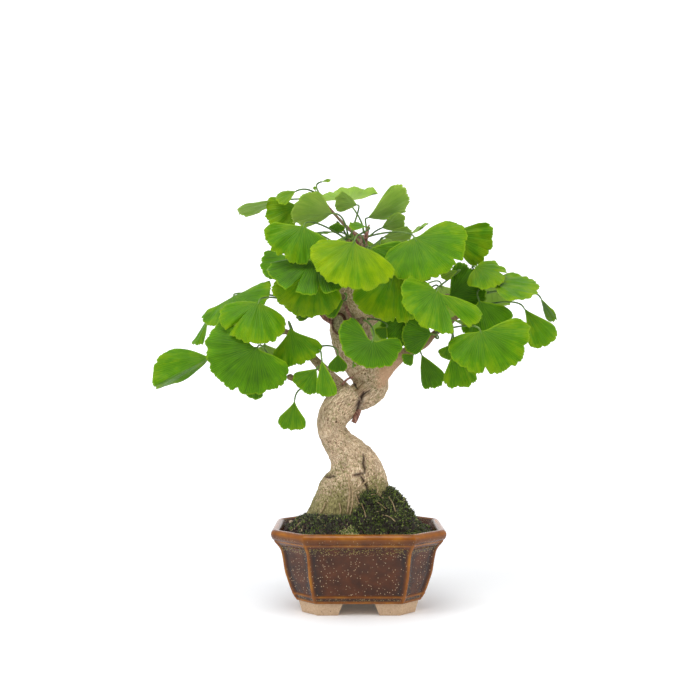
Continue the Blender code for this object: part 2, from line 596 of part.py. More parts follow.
def make_leaf(name, shape, finish, parent):
    """One leaf: a round petiole that flattens into a fan-shaped blade, in one loft."""
    side, along, _ = leaf_axes(shape)
    width_points = ACROSS_WIDE if shape["spread"] > WIDE_BLADE else ACROSS
    route = petiole_route(shape, PETIOLE_STEPS)
    frames = []
    for k in range(len(route) - 1, -1, -1):
        ahead = route[min(k + 1, len(route) - 1)]
        behind = route[max(k - 1, 0)]
        tangent = along if k == len(route) - 1 else (ahead - behind) / np.linalg.norm(ahead - behind)
        side = side - tangent * np.dot(side, tangent)
        side = side / np.linalg.norm(side)
        frames.append((route[k], side, np.cross(tangent, side)))
    count = 2 * width_points
    turns = [math.pi * ((2 * j + 1) / count - 1) for j in range(count)]
    rings = []
    for centre, side, up in reversed(frames):
        rings.append([centre + PETIOLE_RADIUS * (math.cos(t) * side + math.sin(t) * up) for t in turns])
    u = np.linspace(-1, 1, width_points)
    for step in BLADE_STEPS:
        v = np.full(width_points, step)
        middle = blade_point(shape, u, v)
        lift = blade_normal(shape, u, v) * BLADE_THICKNESS / 2
        rings.append([*(middle - lift), *(middle + lift)[::-1]])
    points, faces = loft(rings)
    last = faces.pop()
    for j in range(width_points - 1):
        faces.append((last[j], last[j + 1], last[count - 2 - j], last[count - 1 - j]))
    return make_object(name, points, faces, finish, parent)


def place_origin(root, items):
    """Move the tree so that the middle of its box lies over the origin, on the ground."""
    corners = [item.matrix_world @ Vector(corner) for item in items for corner in item.bound_box]
    low = [min(c[k] for c in corners) for k in range(3)]
    high = [max(c[k] for c in corners) for k in range(3)]
    root.location = (-(low[0] + high[0]) / 2, -(low[1] + high[1]) / 2, -low[2])


def main():
    clear_scene()
    root = bpy.data.objects.new("ginkgo_bonsai", None)
    bpy.context.scene.collection.objects.link(root)
    mesh_finish = make_material("black_plastic_mesh", (0.02, 0.02, 0.02), 0.5)
    leaf_finish = make_material("ginkgo_leaf", (0.10, 0.28, 0.02), 0.5)
    items = [make_pot(root), make_soil(root), make_moss(root), make_trunk(root)]
    items.append(make_drainage_mesh("drainage_mesh_left", -1, mesh_finish, root))
    items.append(make_drainage_mesh("drainage_mesh_right", 1, mesh_finish, root))
    for name, shape in LEAVES.items():
        items.append(make_leaf(name, shape, leaf_finish, root))
    bpy.context.view_layer.update()
    place_origin(root, items)


main()
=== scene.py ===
"""Looks of a small ginkgo bonsai in a glazed octagonal pot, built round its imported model."""
import math

import bmesh
import bpy
import numpy as np
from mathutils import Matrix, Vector, noise


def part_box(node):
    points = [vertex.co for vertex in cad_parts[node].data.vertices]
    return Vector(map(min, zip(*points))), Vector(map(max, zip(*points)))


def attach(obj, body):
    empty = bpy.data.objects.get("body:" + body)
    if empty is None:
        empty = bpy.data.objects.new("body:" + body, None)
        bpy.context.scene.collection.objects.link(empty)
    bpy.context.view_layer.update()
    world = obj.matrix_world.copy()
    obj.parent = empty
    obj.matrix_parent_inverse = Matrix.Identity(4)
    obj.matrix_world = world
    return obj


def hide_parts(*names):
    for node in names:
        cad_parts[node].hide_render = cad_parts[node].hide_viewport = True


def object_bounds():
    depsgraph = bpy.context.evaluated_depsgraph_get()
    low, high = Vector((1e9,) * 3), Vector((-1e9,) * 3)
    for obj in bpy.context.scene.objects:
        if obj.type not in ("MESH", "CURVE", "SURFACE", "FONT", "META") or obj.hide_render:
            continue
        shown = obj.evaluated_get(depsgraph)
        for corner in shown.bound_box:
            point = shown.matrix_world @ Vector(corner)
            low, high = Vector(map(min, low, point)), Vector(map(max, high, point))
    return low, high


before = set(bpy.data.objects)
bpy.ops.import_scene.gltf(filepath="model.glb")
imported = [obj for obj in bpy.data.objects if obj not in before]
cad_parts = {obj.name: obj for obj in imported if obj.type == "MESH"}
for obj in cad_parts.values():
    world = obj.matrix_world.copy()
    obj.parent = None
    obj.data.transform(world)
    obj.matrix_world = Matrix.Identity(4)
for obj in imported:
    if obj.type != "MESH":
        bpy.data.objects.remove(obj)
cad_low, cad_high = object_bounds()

# Pot: one piece of stoneware, pressed in a mould with raised ribs on its eight
# upright corners and a thick rolled lip, glazed in temmoku brown and fired. The
# four corner feet were wiped free of glaze before the firing and stay buff clay.
MM = 0.001
POT_HALF_LENGTH = 62.9
POT_HALF_DEPTH = 54.0
POT_CORNER_CUT = 24.0
POT_CORNER_CUT_PER_INSET = 0.57
# Height and inset from the rim's outline, up the outside, over the lip, down the inside
POT_PROFILE = (
    (9.0, 20.5), (9.0, 18.6), (9.6, 18.0), (11.0, 17.8), (14.0, 16.5), (18.0, 14.8), (24.0, 12.8),
    (30.0, 11.0), (38.0, 9.7), (44.3, 8.4), (47.6, 6.8), (49.6, 5.2), (51.0, 4.1), (52.4, 3.1), (53.6, 1.2),
    (55.2, 0.2), (56.9, 0.0), (58.4, 0.4), (59.6, 1.5), (60.0, 2.9), (59.7, 4.4), (58.4, 5.7), (55.5, 6.9),
    (50.0, 10.5), (40.0, 14.5), (25.0, 18.0), (15.0, 22.5), (13.0, 24.0),
)
PROFILE_STEP = 0.75
RIB_RISE = 1.0
RIB_WIDTH = 1.25
PANEL_DEPTH = 0.7
PANEL_LOW = 14.6
PANEL_HIGH = 49.0
# Heights over which a rib rises from the foot and runs out under the lip
RIB_FOOT = (9.5, 12.0)
RIB_HEAD = (50.0, 54.5)
MOULDING_HEIGHTS = (51.8, 13.9)
MOULDING_RISE = 0.35
MOULDING_WIDTH = 0.75
FOOT_TOP = 11.0
FOOT_TOP_INSET = 19.2
FOOT_SOLE_INSET = 22.3
FOOT_WIDTH = 13.0
FRONT_GAP = (15.0, 10.0)
SIDE_GAP = (11.0, 6.0)
FOOT_EDGE_ROUND = 0.5
# The floor's underside and top: inset and height
FLOOR_LEVELS = ((20.0, 9.05), (21.5, 15.0))
CUTTER_REACH = 80.0
DRAIN_HOLE_RADIUS = 7.0
DRAIN_HOLE_X = 25.0
DRAIN_HOLE_SIDES = 48
DRILL_ENDS = (7.0, 17.0)

pot_low, pot_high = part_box("pot")
pot_middle = np.array(((pot_low.x + pot_high.x) / 2, (pot_low.y + pot_high.y) / 2, 0.0))


def linear(code):
    """An sRGB hex colour as linear light."""
    parts = [int(code[k:k + 2], 16) / 255 for k in (1, 3, 5)]
    return tuple(c / 12.92 if c <= 0.04045 else ((c + 0.055) / 1.055) ** 2.4 for c in parts) + (1.0,)


def node(tree, kind, settings=None, links=None):
    """Add a node, set its properties and input values, and link its inputs.

    A link comes from a socket, or from the first output of a node.
    """
    item = tree.nodes.new("ShaderNode" + kind)
    for key, value in (settings or {}).items():
        if key == "stops":
            for place, _ in value[2:]:
                item.color_ramp.elements.new(place)
            for stop, (place, colour) in zip(item.color_ramp.elements, sorted(value)):
                stop.position = place
                stop.color = linear(colour) if isinstance(colour, str) else (colour, colour, colour, 1.0)
        elif isinstance(key, str) and hasattr(item, key):
            setattr(item, key, value)
        else:
            item.inputs[key].default_value = linear(value) if isinstance(value, str) else value
    for key, source in (links or {}).items():
        tree.links.new(getattr(source, "outputs", (source,))[0], item.inputs[key])
    return item


def new_material(name):
    """An empty material and its node tree."""
    finish = bpy.data.materials.new(name)
    finish.use_nodes = True
    finish.node_tree.nodes.clear()
    return finish, finish.node_tree


def in_millimetres(tree):
    """Where each point is on its piece, in millimetres, to lay a texture by."""
    place = node(tree, "TexCoord").outputs["Object"]
    return node(tree, "Mapping", {"Scale": (1000, 1000, 1000)}, {"Vector": place})


def added(name, data):
    """A new object in the scene."""
    item = bpy.data.objects.new(name, data)
    bpy.context.scene.collection.objects.link(item)
    return item


def body(name, points, faces, finishes, finish_of_face=None, replaced=None, slot=None, marks=None):
    """A piece from points in millimetres, counted from the middle of the pot on the ground."""
    mesh = bpy.data.meshes.new(name)
    placed = np.asarray(points, float) * MM + pot_middle
    mesh.from_pydata(placed.tolist(), [], [list(map(int, face)) for face in faces])
    for finish in finishes:
        mesh.materials.append(finish)
    mesh.polygons.foreach_set("use_smooth", np.ones(len(mesh.polygons), bool))
    if finish_of_face is not None:
        mesh.polygons.foreach_set("material_index", np.asarray(finish_of_face, np.int32))
    for mark, values in (marks or {}).items():
        values = np.asarray(values, np.float32)
        layer = mesh.attributes.new(mark, "FLOAT" if values.ndim == 1 else "FLOAT_VECTOR", "POINT")
        layer.data.foreach_set("value" if values.ndim == 1 else "vector", values.ravel())
    faced_out = bmesh.new()
    faced_out.from_mesh(mesh)
    bmesh.ops.recalc_face_normals(faced_out, faces=faced_out.faces)
    faced_out.to_mesh(mesh)
    faced_out.free()
    mesh.update()
    item = added(name, mesh)
    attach(item, "root")
    if replaced:
        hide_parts(replaced)
    return item


def ease(values, low, high):
    """0 below low, 1 above high, and a smooth rise between them."""
    t = np.clip((np.asarray(values, float) - low) / (high - low), 0, 1)
    return t * t * (3 - 2 * t)


def hump(values, middle, width):
    """1 at the middle, falling off on both sides over about the width."""
    return np.exp(-(((np.asarray(values, float) - middle) / width) ** 2))


def smooth_route(stops, step):
    """A smooth curve through stops, with points about step millimetres apart."""
    stops = np.asarray(stops, float)
    padded = np.vstack((2 * stops[0] - stops[1], stops, 2 * stops[-1] - stops[-2]))
    out = []
    for k in range(1, len(padded) - 2):
        before, here, there, after = padded[k - 1:k + 3]
        count = max(1, int(round(np.linalg.norm((there - here)[:3]) / step)))
        for t in np.arange(count) / count:
            out.append(
                0.5 * (2 * here + (there - before) * t + (2 * before - 5 * here + 4 * there - after) * t**2
                       + (3 * here - before - 3 * there + after) * t**3)
            )
    out.append(stops[-1])
    return np.array(out)


def grid_faces(rows, columns, closed=False):
    """Quads between rows of points; closed joins the last column to the first."""
    i, j = np.meshgrid(np.arange(rows - 1), np.arange(columns if closed else columns - 1), indexing="ij")
    k = (j + 1) % columns
    quads = np.stack((i * columns + j, i * columns + k, (i + 1) * columns + k, (i + 1) * columns + j), -1)
    return quads.reshape(-1, 4)


def full_turn(count):
    """The angles of count even steps round a circle."""
    return np.linspace(0, 2 * math.pi, count + 1)[:-1]


def unit(vectors):
    """Each row's direction, one long."""
    return vectors / np.linalg.norm(vectors, axis=1)[:, None]


def octagon(inset):
    """The eight corners of the pot's outline, anticlockwise from the right side's front end."""
    across = POT_HALF_LENGTH - inset
    deep = POT_HALF_DEPTH - inset
    cut = POT_CORNER_CUT - POT_CORNER_CUT_PER_INSET * inset
    return np.array((
        (across, cut - deep), (across, deep - cut), (across - cut, deep), (cut - across, deep),
        (-across, deep - cut), (-across, cut - deep), (cut - across, -deep), (across - cut, -deep),
    ))


def outline(inset, near_corner, between):
    """Points round the octagon, its outward directions and each point's way to the next corner."""
    corners = octagon(inset)
    points, normals, ways = [], [], []
    for k, corner in enumerate(corners):
        ahead = corners[(k + 1) % 8] - corner
        length = np.linalg.norm(ahead)
        ahead = ahead / length
        out = np.array((ahead[1], -ahead[0]))
        middle = np.linspace(near_corner[-1], length - near_corner[-1], between + 2)[1:-1]
        for way in (*near_corner, *middle, *(length - np.array(near_corner[:0:-1]))):
            points.append(corner + ahead * way)
            normals.append(out)
            ways.append(min(way, length - way))
    count = len(points) // 8
    for k in range(8):
        joined = normals[k * count] + normals[k * count - 1]
        normals[k * count] = joined / np.linalg.norm(joined)
    return np.array(points), np.array(normals), np.array(ways)


def closed_prism(rings):
    """Points and faces of a solid between rings, with both ends closed."""
    count = len(rings[0])
    faces = [tuple(f) for f in grid_faces(len(rings), count, closed=True)]
    last = (len(rings) - 1) * count
    return np.vstack(rings), [tuple(reversed(range(count))), *faces, tuple(range(last, last + count))]


def plain_mesh(points, faces):
    """A bmesh in millimetres."""
    shape = bmesh.new()
    corners = [shape.verts.new(tuple(map(float, p))) for p in points]
    for face in faces:
        shape.faces.new([corners[i] for i in face])
    return shape


def carved(base, cutters):
    """What is left of a solid when others are cut out of it, as points and faces."""
    items = []
    for points, faces in (base, *cutters):
        shape = plain_mesh(points, faces)
        bmesh.ops.recalc_face_normals(shape, faces=shape.faces)
        mesh = bpy.data.meshes.new("blank")
        shape.to_mesh(mesh)
        shape.free()
        items.append(added("blank", mesh))
    for cutter in items[1:]:
        cut = items[0].modifiers.new("cut", "BOOLEAN")
        cut.operation = "DIFFERENCE"
        cut.solver = "EXACT"
        cut.object = cutter
    graph = bpy.context.evaluated_depsgraph_get()
    result = bpy.data.meshes.new_from_object(items[0].evaluated_get(graph))
    shape = bmesh.new()
    shape.from_mesh(result)
    for item in items:
        bpy.data.objects.remove(item, do_unlink=True)
    return shape


def taken(shape):
    """The points and faces of a bmesh."""
    points = np.array([v.co[:] for v in shape.verts])
    faces = [[v.index for v in face.verts] for face in shape.faces]
    shape.free()
    return points, faces


def level_ring(inset, height):
    """The pot's outline, level at a height."""
    return np.column_stack((octagon(inset), np.full(8, float(height))))


def gap_cutter(halves, along_y):
    """A slanted block that opens the gap between two feet."""
    low, high = -1.0, FOOT_TOP + 1
    section = np.array(((-halves[0], low), (halves[0], low), (halves[1], high), (-halves[1], high)))
    rings = []
    for end in (-CUTTER_REACH, CUTTER_REACH):
        depth = np.full(4, end)
        columns = (section[:, 0], depth, section[:, 1]) if along_y else (depth, section[:, 0], section[:, 1])
        rings.append(np.column_stack(columns))
    return closed_prism(rings)


profile = smooth_route(POT_PROFILE, PROFILE_STEP)
NEAR_CORNER = (0.0, 0.5, 1.0, 1.5, 2.0, 2.6, 3.3, 4.3, 6.0)
rim_at = int(np.argmax(profile[:, 0]))
pot_rows = []
marks = {"amber": [], "dark": [], "fleck": []}
for k, (height, inset) in enumerate(profile):
    ring, out, way = outline(inset, NEAR_CORNER, 14)
    outside = 1.0 if k < rim_at else 0.0
    rib = hump(way, 0.0, RIB_WIDTH)
    rib_here = ease(height, *RIB_FOOT) * (1 - ease(height, *RIB_HEAD)) * outside
    panel = ease(way, 1.9, 3.2) * ease(height, PANEL_LOW - 0.5, PANEL_LOW + 0.5)
    panel = panel * (1 - ease(height, PANEL_HIGH - 0.8, PANEL_HIGH + 0.8)) * outside
    line = sum(hump(height, z, MOULDING_WIDTH) for z in MOULDING_HEIGHTS) * outside
    rise = RIB_RISE * rib * rib_here - PANEL_DEPTH * panel + MOULDING_RISE * line
    rise = rise - 0.5 * ease(height, 51.5, 54.5) * hump(way, 0.0, 2.2)
    ring = ring + out * rise[:, None]
    pot_rows.append(np.column_stack((ring, np.full(len(ring), height))))
    # The glaze breaks to amber on the lip, the ribs, the mouldings and the lower edge
    lip = outside * (0.25 * ease(height, 52.6, 54.0) + 0.75 * hump(height, 58.2, 1.8))
    lip = lip + (1 - outside) * ease(height, 59.0, 60.0)
    edge = hump(height, 9.6, 1.2) * outside
    broad_rib = hump(way, 0.0, 0.85 * RIB_WIDTH) * ease(height, *RIB_FOOT)
    broad_rib = broad_rib * (1 - 0.8 * ease(height, 51.0, 54.0)) * outside
    marks["amber"].append(np.clip(broad_rib + 0.85 * line + lip + edge, 0, 1))
    # It is darkest where it pooled, along the panels' frames
    frame_edge = 1 - ease(way, 3.0, 8.5)
    low_band = hump(height, 11.8, 1.3) * outside
    marks["dark"].append(np.clip(0.8 * frame_edge * panel + low_band * ease(way, 2.0, 3.0), 0, 1))
    # Crystals crowd in the band under the moulding and inside the rim
    top_band = ease(height, 43.5, 46.5) * (1 - ease(height, 49.0, 50.5)) * outside
    inner_edge = (1 - outside) * ease(height, 56.5, 58.5)
    marks["fleck"].append(np.clip(top_band + inner_edge + 0.7 * low_band, 0, 1) + np.zeros(len(ring)))
pot_points = np.vstack(pot_rows)
columns = len(pot_rows[0])
pot_faces = [tuple(f) for f in grid_faces(len(pot_rows), columns, closed=True)]
first_row = np.arange(columns)
last_row = first_row + (len(pot_rows) - 1) * columns
for j in range(columns):
    k = (j + 1) % columns
    pot_faces.append((last_row[j], last_row[k], first_row[k], first_row[j]))
glazed = len(pot_faces)

turns = full_turn(DRAIN_HOLE_SIDES)
hole = DRAIN_HOLE_RADIUS * np.column_stack((np.cos(turns), np.sin(turns)))
drills = []
for middle_x in (-DRAIN_HOLE_X, DRAIN_HOLE_X):
    circle = hole + (middle_x, 0.0)
    drills.append(closed_prism([np.column_stack((circle, np.full(DRAIN_HOLE_SIDES, z))) for z in DRILL_ENDS]))
floor_plate = taken(carved(closed_prism([level_ring(*level) for level in FLOOR_LEVELS]), drills))
feet_block = closed_prism([level_ring(FOOT_SOLE_INSET, 0.0), level_ring(FOOT_TOP_INSET, FOOT_TOP)])
feet_hollow = closed_prism([level_ring(FOOT_SOLE_INSET + FOOT_WIDTH, z) for z in (-1.0, FOOT_TOP + 1)])
feet_shape = carved(feet_block, [feet_hollow, gap_cutter(FRONT_GAP, True), gap_cutter(SIDE_GAP, False)])
sharp = [e for e in feet_shape.edges if len(e.link_faces) == 2 and e.calc_face_angle() > 0.5]
bmesh.ops.bevel(feet_shape, geom=sharp, offset=FOOT_EDGE_ROUND, segments=2, profile=0.5, affect="EDGES")
feet = taken(feet_shape)
for points, faces in (floor_plate, feet):
    base = len(pot_points)
    pot_faces += [tuple(i + base for i in face) for face in faces]
    pot_points = np.vstack((pot_points, points))
    for mark in marks:
        marks[mark].append(np.zeros(len(points)))

# Temmoku glaze over stoneware: dark brown where it pooled, amber where it broke
# thin over edges, with iron and rutile crystals of about half a millimetre.
glaze, tree = new_material("temmoku_glazed_stoneware")
millimetres = in_millimetres(tree)
amber, dark, fleck = (
    node(tree, "Attribute", {"attribute_name": mark}).outputs["Fac"] for mark in ("amber", "dark", "fleck")
)
clouds = node(tree, "TexNoise", {"Scale": 1 / 9, "Detail": 4.0}, {"Vector": millimetres})
brown = node(tree, "ValToRGB", {"stops": [(0.3, "#381A07"), (0.7, "#572B0F")]}, {"Fac": clouds})
edge_wobble = node(tree, "TexNoise", {"Scale": 1 / 2.2, "Detail": 3.0}, {"Vector": millimetres})
dark_part = node(tree, "Math", {"operation": "MULTIPLY"}, {0: dark, 1: edge_wobble})
dark_part = node(tree, "Math", {"operation": "MULTIPLY", 1: 1.7, "use_clamp": True}, {0: dark_part})
pooled = node(tree, "MixRGB", {"Color2": "#201B1A"}, {"Fac": dark_part, "Color1": brown})
# Crystals about 0.6 mm wide stand about 3 mm apart on the panels, and half as far
# apart in the band under the moulding
near = node(tree, "TexVoronoi", {"Scale": 1 / 1.75, "Randomness": 0.95}, {"Vector": millimetres})
spot = node(tree, "ValToRGB", {"stops": [(0.1, 1.0), (0.21, 0.0)]}, {"Fac": near.outputs["Distance"]})
choice = node(tree, "SeparateColor", {}, {"Color": near.outputs["Color"]}).outputs["Red"]
density = node(tree, "MapRange", {"To Min": 0.85}, {"Value": fleck})
kept = node(tree, "Math", {"operation": "LESS_THAN"}, {0: choice, 1: density})
thin = node(tree, "Math", {"operation": "SUBTRACT", 0: 1.0, "use_clamp": True}, {1: amber})
kept = node(tree, "Math", {"operation": "MULTIPLY"}, {0: kept, 1: thin})
spots = node(tree, "Math", {"operation": "MULTIPLY"}, {0: spot, 1: kept})
close_set = node(tree, "TexVoronoi", {"Scale": 1 / 1.25}, {"Vector": millimetres})
close_spot = node(tree, "ValToRGB", {"stops": [(0.22, 1.0), (0.36, 0.0)]}, {"Fac": close_set.outputs["Distance"]})
close_spot = node(tree, "Math", {"operation": "MULTIPLY"}, {0: close_spot, 1: fleck})
close_spot = node(tree, "Math", {"operation": "MULTIPLY"}, {0: close_spot, 1: thin})
spots = node(tree, "Math", {"operation": "MAXIMUM"}, {0: spots, 1: close_spot})
spots = node(tree, "Math", {"operation": "MULTIPLY", 1: 0.85}, {0: spots})
crystal = node(tree, "MixRGB", {"Color1": "#DDBF98", "Color2": "#A3954C"}, {"Fac": fleck})
speckled = node(tree, "MixRGB", {}, {"Fac": spots, "Color1": pooled, "Color2": crystal})
streaks = node(tree, "TexNoise", {"Scale": 1 / 11, "Detail": 5.0}, {"Vector": millimetres})
amber_tint = node(
    tree, "ValToRGB", {"stops": [(0.3, "#74400A"), (0.5, "#8E5109"), (0.7, "#A86A0D")]},
    {"Fac": streaks},
)
broken = node(tree, "MixRGB", {}, {"Fac": amber, "Color1": speckled, "Color2": amber_tint})
ripple = node(tree, "TexNoise", {"Scale": 1 / 1.6, "Detail": 3.0}, {"Vector": millimetres})
relief = node(tree, "Bump", {"Strength": 0.25, "Distance": 0.0004}, {"Height": ripple})
gloss = node(
    tree, "BsdfPrincipled", {"Roughness": 0.22, "IOR": 1.48, "Specular IOR Level": 0.36},
    {"Base Color": broken, "Normal": relief},
)
node(tree, "OutputMaterial", {}, {"Surface": gloss})

# Buff stoneware clay, bare: matt, slightly gritty, with a few iron pinholes.
bare_clay, tree = new_material("bare_buff_stoneware")
millimetres = in_millimetres(tree)
grit = node(tree, "TexNoise", {"Scale": 1 / 1.2, "Detail": 5.0}, {"Vector": millimetres})
clay_tint = node(tree, "ValToRGB", {"stops": [(0.3, "#B8997A"), (0.7, "#D0B595")]}, {"Fac": grit})
pin = node(tree, "TexVoronoi", {"Scale": 1 / 3.5}, {"Vector": millimetres})
pin_dot = node(tree, "ValToRGB", {"stops": [(0.07, 1.0), (0.1, 0.0)]}, {"Fac": pin.outputs["Distance"]})
clay_tint = node(tree, "MixRGB", {"Color2": "#5A4033"}, {"Fac": pin_dot, "Color1": clay_tint})
relief = node(tree, "Bump", {"Strength": 0.4, "Distance": 0.0003}, {"Height": grit})
matt = node(tree, "BsdfPrincipled", {"Roughness": 0.85, "IOR": 1.45}, {"Base Color": clay_tint, "Normal": relief})
node(tree, "OutputMaterial", {}, {"Surface": matt})
body(
    "glazed_pot", pot_points, pot_faces, [glaze, bare_clay],
    [0] * glazed + [1] * (len(pot_faces) - glazed), "pot", "glazed_stoneware",
    {mark: np.concatenate(rows) for mark, rows in marks.items()},
)

# Drainage mesh: a square of black polypropylene net, moulded, laid over each drain
# hole before the soil goes in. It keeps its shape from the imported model.
plastic, tree = new_material("moulded_black_polypropylene")
place = node(tree, "TexCoord").outputs["Object"]
grain = node(tree, "TexNoise", {"Scale": 1500.0, "Detail": 2.0}, {"Vector": place})
relief = node(tree, "Bump", {"Strength": 0.2, "Distance": 0.0001}, {"Height": grain})
tint = node(tree, "ValToRGB", {"stops": [(0.3, "#141414"), (0.7, "#202020")]}, {"Fac": grain})
satin = node(tree, "BsdfPrincipled", {"Roughness": 0.5, "IOR": 1.49}, {"Base Color": tint, "Normal": relief})
node(tree, "OutputMaterial", {}, {"Surface": satin})
for name in ("drainage_mesh_left", "drainage_mesh_right"):
    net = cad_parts[name]
    for finish_slot in net.material_slots:
        finish_slot.material = plastic

# Soil: dark bonsai earth with grit and bark crumbs, filled in by hand to a few
# millimetres under the lip and pressed round the roots. Its crumbs are loose grains.
SOIL_TOP = 55.2
SOIL_LOW = 16.7
SOIL_GAP = 0.5
SOIL_EDGE_INSET = 7.4
SOIL_STEPS = 44
SOIL_NEAR_CORNER = (0.0, 1.5, 4.0)
# The heap against the roots: its middle, half-widths, rise and how much more in front
HEAP_MIDDLE = (-2.5, 1.0)
HEAP_HALF_WIDTHS = (38.0, 27.0)
HEAP_RISE = 10.5
HEAP_RISE_IN_FRONT = 2.5
CRUMB_COUNT = 1900
CRUMB_SIZE = (0.5, 1.8)
RNG = np.random.default_rng(11)


def rough(points, size, shift=0.0):
    """Smooth noise from -1 to 1 at each point, with bumps about size millimetres wide."""
    return np.array([noise.noise(p) for p in (np.asarray(points, float) / size + shift).tolist()])


def lumps(centres, sizes, flatness, rings=2):
    """Small rounded stones or crumbs: points and faces of all of them."""
    ball = bmesh.new()
    bmesh.ops.create_icosphere(ball, subdivisions=rings, radius=1.0)
    unit, unit_faces = taken(ball)
    points, faces = [], []
    for k, (centre, size) in enumerate(zip(centres, sizes)):
        turn, _ = np.linalg.qr(RNG.normal(size=(3, 3)))
        if np.linalg.det(turn) < 0:
            turn[:, 0] *= -1
        stretch = RNG.uniform((0.8, 0.6, flatness), (1.2, 1.0, flatness + 0.3))
        bumps = 1 + 0.22 * rough(unit, 0.8, 7.3 * k)
        points.append(centre + (unit * bumps[:, None] * stretch) @ turn.T * size)
        faces += [[i + k * len(unit) for i in face] for face in unit_faces]
    return np.vstack(points), faces


def inside_pot(x, y, margin):
    """Which points lie inside the soil's outline, at least margin from the wall."""
    inset = SOIL_EDGE_INSET + margin
    cut = POT_CORNER_CUT - POT_CORNER_CUT_PER_INSET * SOIL_EDGE_INSET
    across, deep = POT_HALF_LENGTH - inset, POT_HALF_DEPTH - inset
    return (abs(x) < across) & (abs(y) < deep) & (abs(x) + abs(y) < across + deep - cut - 0.4 * margin)


def soil_height(x, y):
    """Height of the soil's uneven surface, which is heaped up against the roots."""
    places = np.column_stack((x, y, np.zeros(len(x))))
    from_roots = np.hypot((x - HEAP_MIDDLE[0]) / HEAP_HALF_WIDTHS[0], (y - HEAP_MIDDLE[1]) / HEAP_HALF_WIDTHS[1])
    heap = (HEAP_RISE + HEAP_RISE_IN_FRONT * ease(-y, 0.0, 20.0)) * ease(-from_roots, -1.5, -0.95)
    height = SOIL_TOP + heap + 0.9 * rough(places, 9.0)
    return height + 0.5 * rough(places, 3.2, 4.0) + 0.35 * rough(places, 1.3, 9.0)


def soil_ring(height):
    """The soil's outline at a height, a small gap inside the pot's wall."""
    wall_heights, wall_insets = np.array(sorted(POT_PROFILE[-9:])).T
    return outline(np.interp(height, wall_heights, wall_insets) + SOIL_GAP, SOIL_NEAR_CORNER, 12)[0]


soil_rows = []
for height in np.linspace(SOIL_LOW, SOIL_TOP - 1.0, 12):
    ring = soil_ring(height)
    soil_rows.append(np.column_stack((ring, np.full(len(ring), height))))
top_ring = soil_ring(SOIL_TOP)
for k in range(SOIL_STEPS):
    ring = top_ring * (1 - k / SOIL_STEPS)
    soil_rows.append(np.column_stack((ring, soil_height(ring[:, 0], ring[:, 1]))))
soil_points, soil_faces = closed_prism(soil_rows)

# Damp earth: nearly black with a purple-brown cast, and no shine at all.
earth, tree = new_material("damp_bonsai_earth")
millimetres = in_millimetres(tree)
crumbs = node(tree, "TexNoise", {"Scale": 1 / 1.4, "Detail": 6.0, "Roughness": 0.65}, {"Vector": millimetres})
earth_tint = node(
    tree, "ValToRGB", {"stops": [(0.3, "#1B1413"), (0.52, "#392A29"), (0.68, "#66524A")]},
    {"Fac": crumbs},
)
damp = node(tree, "TexNoise", {"Scale": 1 / 12, "Detail": 3.0}, {"Vector": millimetres})
damp_part = node(tree, "ValToRGB", {"stops": [(0.45, 0.0), (0.62, 0.75)]}, {"Fac": damp})
earth_tint = node(tree, "MixRGB", {"Color2": "#20261A"}, {"Fac": damp_part, "Color1": earth_tint})
relief = node(tree, "Bump", {"Strength": 0.8, "Distance": 0.0007}, {"Height": crumbs})
dull = node(tree, "BsdfPrincipled", {"Roughness": 0.95, "IOR": 1.4}, {"Base Color": earth_tint, "Normal": relief})
node(tree, "OutputMaterial", {}, {"Surface": dull})
body("soil_fill", soil_points, soil_faces, [earth], replaced="soil", slot="bonsai_soil")

# Twice as many places as crumbs, because those in the cut corners fall away
spread = RNG.uniform((-60, -52), (60, 52), (CRUMB_COUNT * 2, 2))
spread = spread[inside_pot(spread[:, 0], spread[:, 1], 1.5)][:CRUMB_COUNT]
crumb_heights = soil_height(spread[:, 0], spread[:, 1])
crumb_sizes = RNG.uniform(*CRUMB_SIZE, len(spread))
crumb_places = np.column_stack((spread, crumb_heights + 0.2 * crumb_sizes))
body("soil_crumbs", *lumps(crumb_places, crumb_sizes, 0.6, 1), [earth], slot="bonsai_soil")

# Grit: a few pale granite and yellow pumice stones, 2 to 5 mm across, sieved and mixed
# into the soil. The largest have worked up and lie loose on it.
# Each stone's place and radius
PEBBLES = (
    (-11.9, -44.5, 2.3), (15.0, -46.5, 2.0), (54.0, -24.0, 1.7), (-42.0, -33.0, 1.8), (38.0, -38.0, 1.4),
    (-30.0, 36.0, 2.2), (26.0, 38.0, 2.0), (49.0, 12.0, 1.6), (-50.0, 4.0, 1.9), (4.0, -45.5, 1.1),
    (-22.0, -43.0, 1.2),
)
pebbles = np.array(PEBBLES)
# Stone: some pale and grey, some ochre, dry and without shine.
stone, tree = new_material("granite_and_pumice_grit")
millimetres = in_millimetres(tree)
which = node(tree, "TexVoronoi", {"Scale": 1 / 9}, {"Vector": millimetres}).outputs["Color"]
which = node(tree, "SeparateColor", {}, {"Color": which}).outputs["Red"]
grains = node(tree, "TexNoise", {"Scale": 1 / 0.5, "Detail": 4.0}, {"Vector": millimetres})
pale = node(tree, "ValToRGB", {"stops": [(0.3, "#A9A296"), (0.7, "#DCD5C8")]}, {"Fac": grains})
stone_tint = node(tree, "MixRGB", {"Color2": "#B3853F"}, {"Fac": which, "Color1": pale})
relief = node(tree, "Bump", {"Strength": 0.5, "Distance": 0.0003}, {"Height": grains})
dry = node(tree, "BsdfPrincipled", {"Roughness": 0.8, "IOR": 1.5}, {"Base Color": stone_tint, "Normal": relief})
node(tree, "OutputMaterial", {}, {"Surface": dry})
pebble_places = np.column_stack((pebbles[:, :2], soil_height(pebbles[:, 0], pebbles[:, 1]) + 0.45 * pebbles[:, 2]))
body("grit_stones", *lumps(pebble_places, pebbles[:, 2], 0.7), [stone], slot="bonsai_soil")

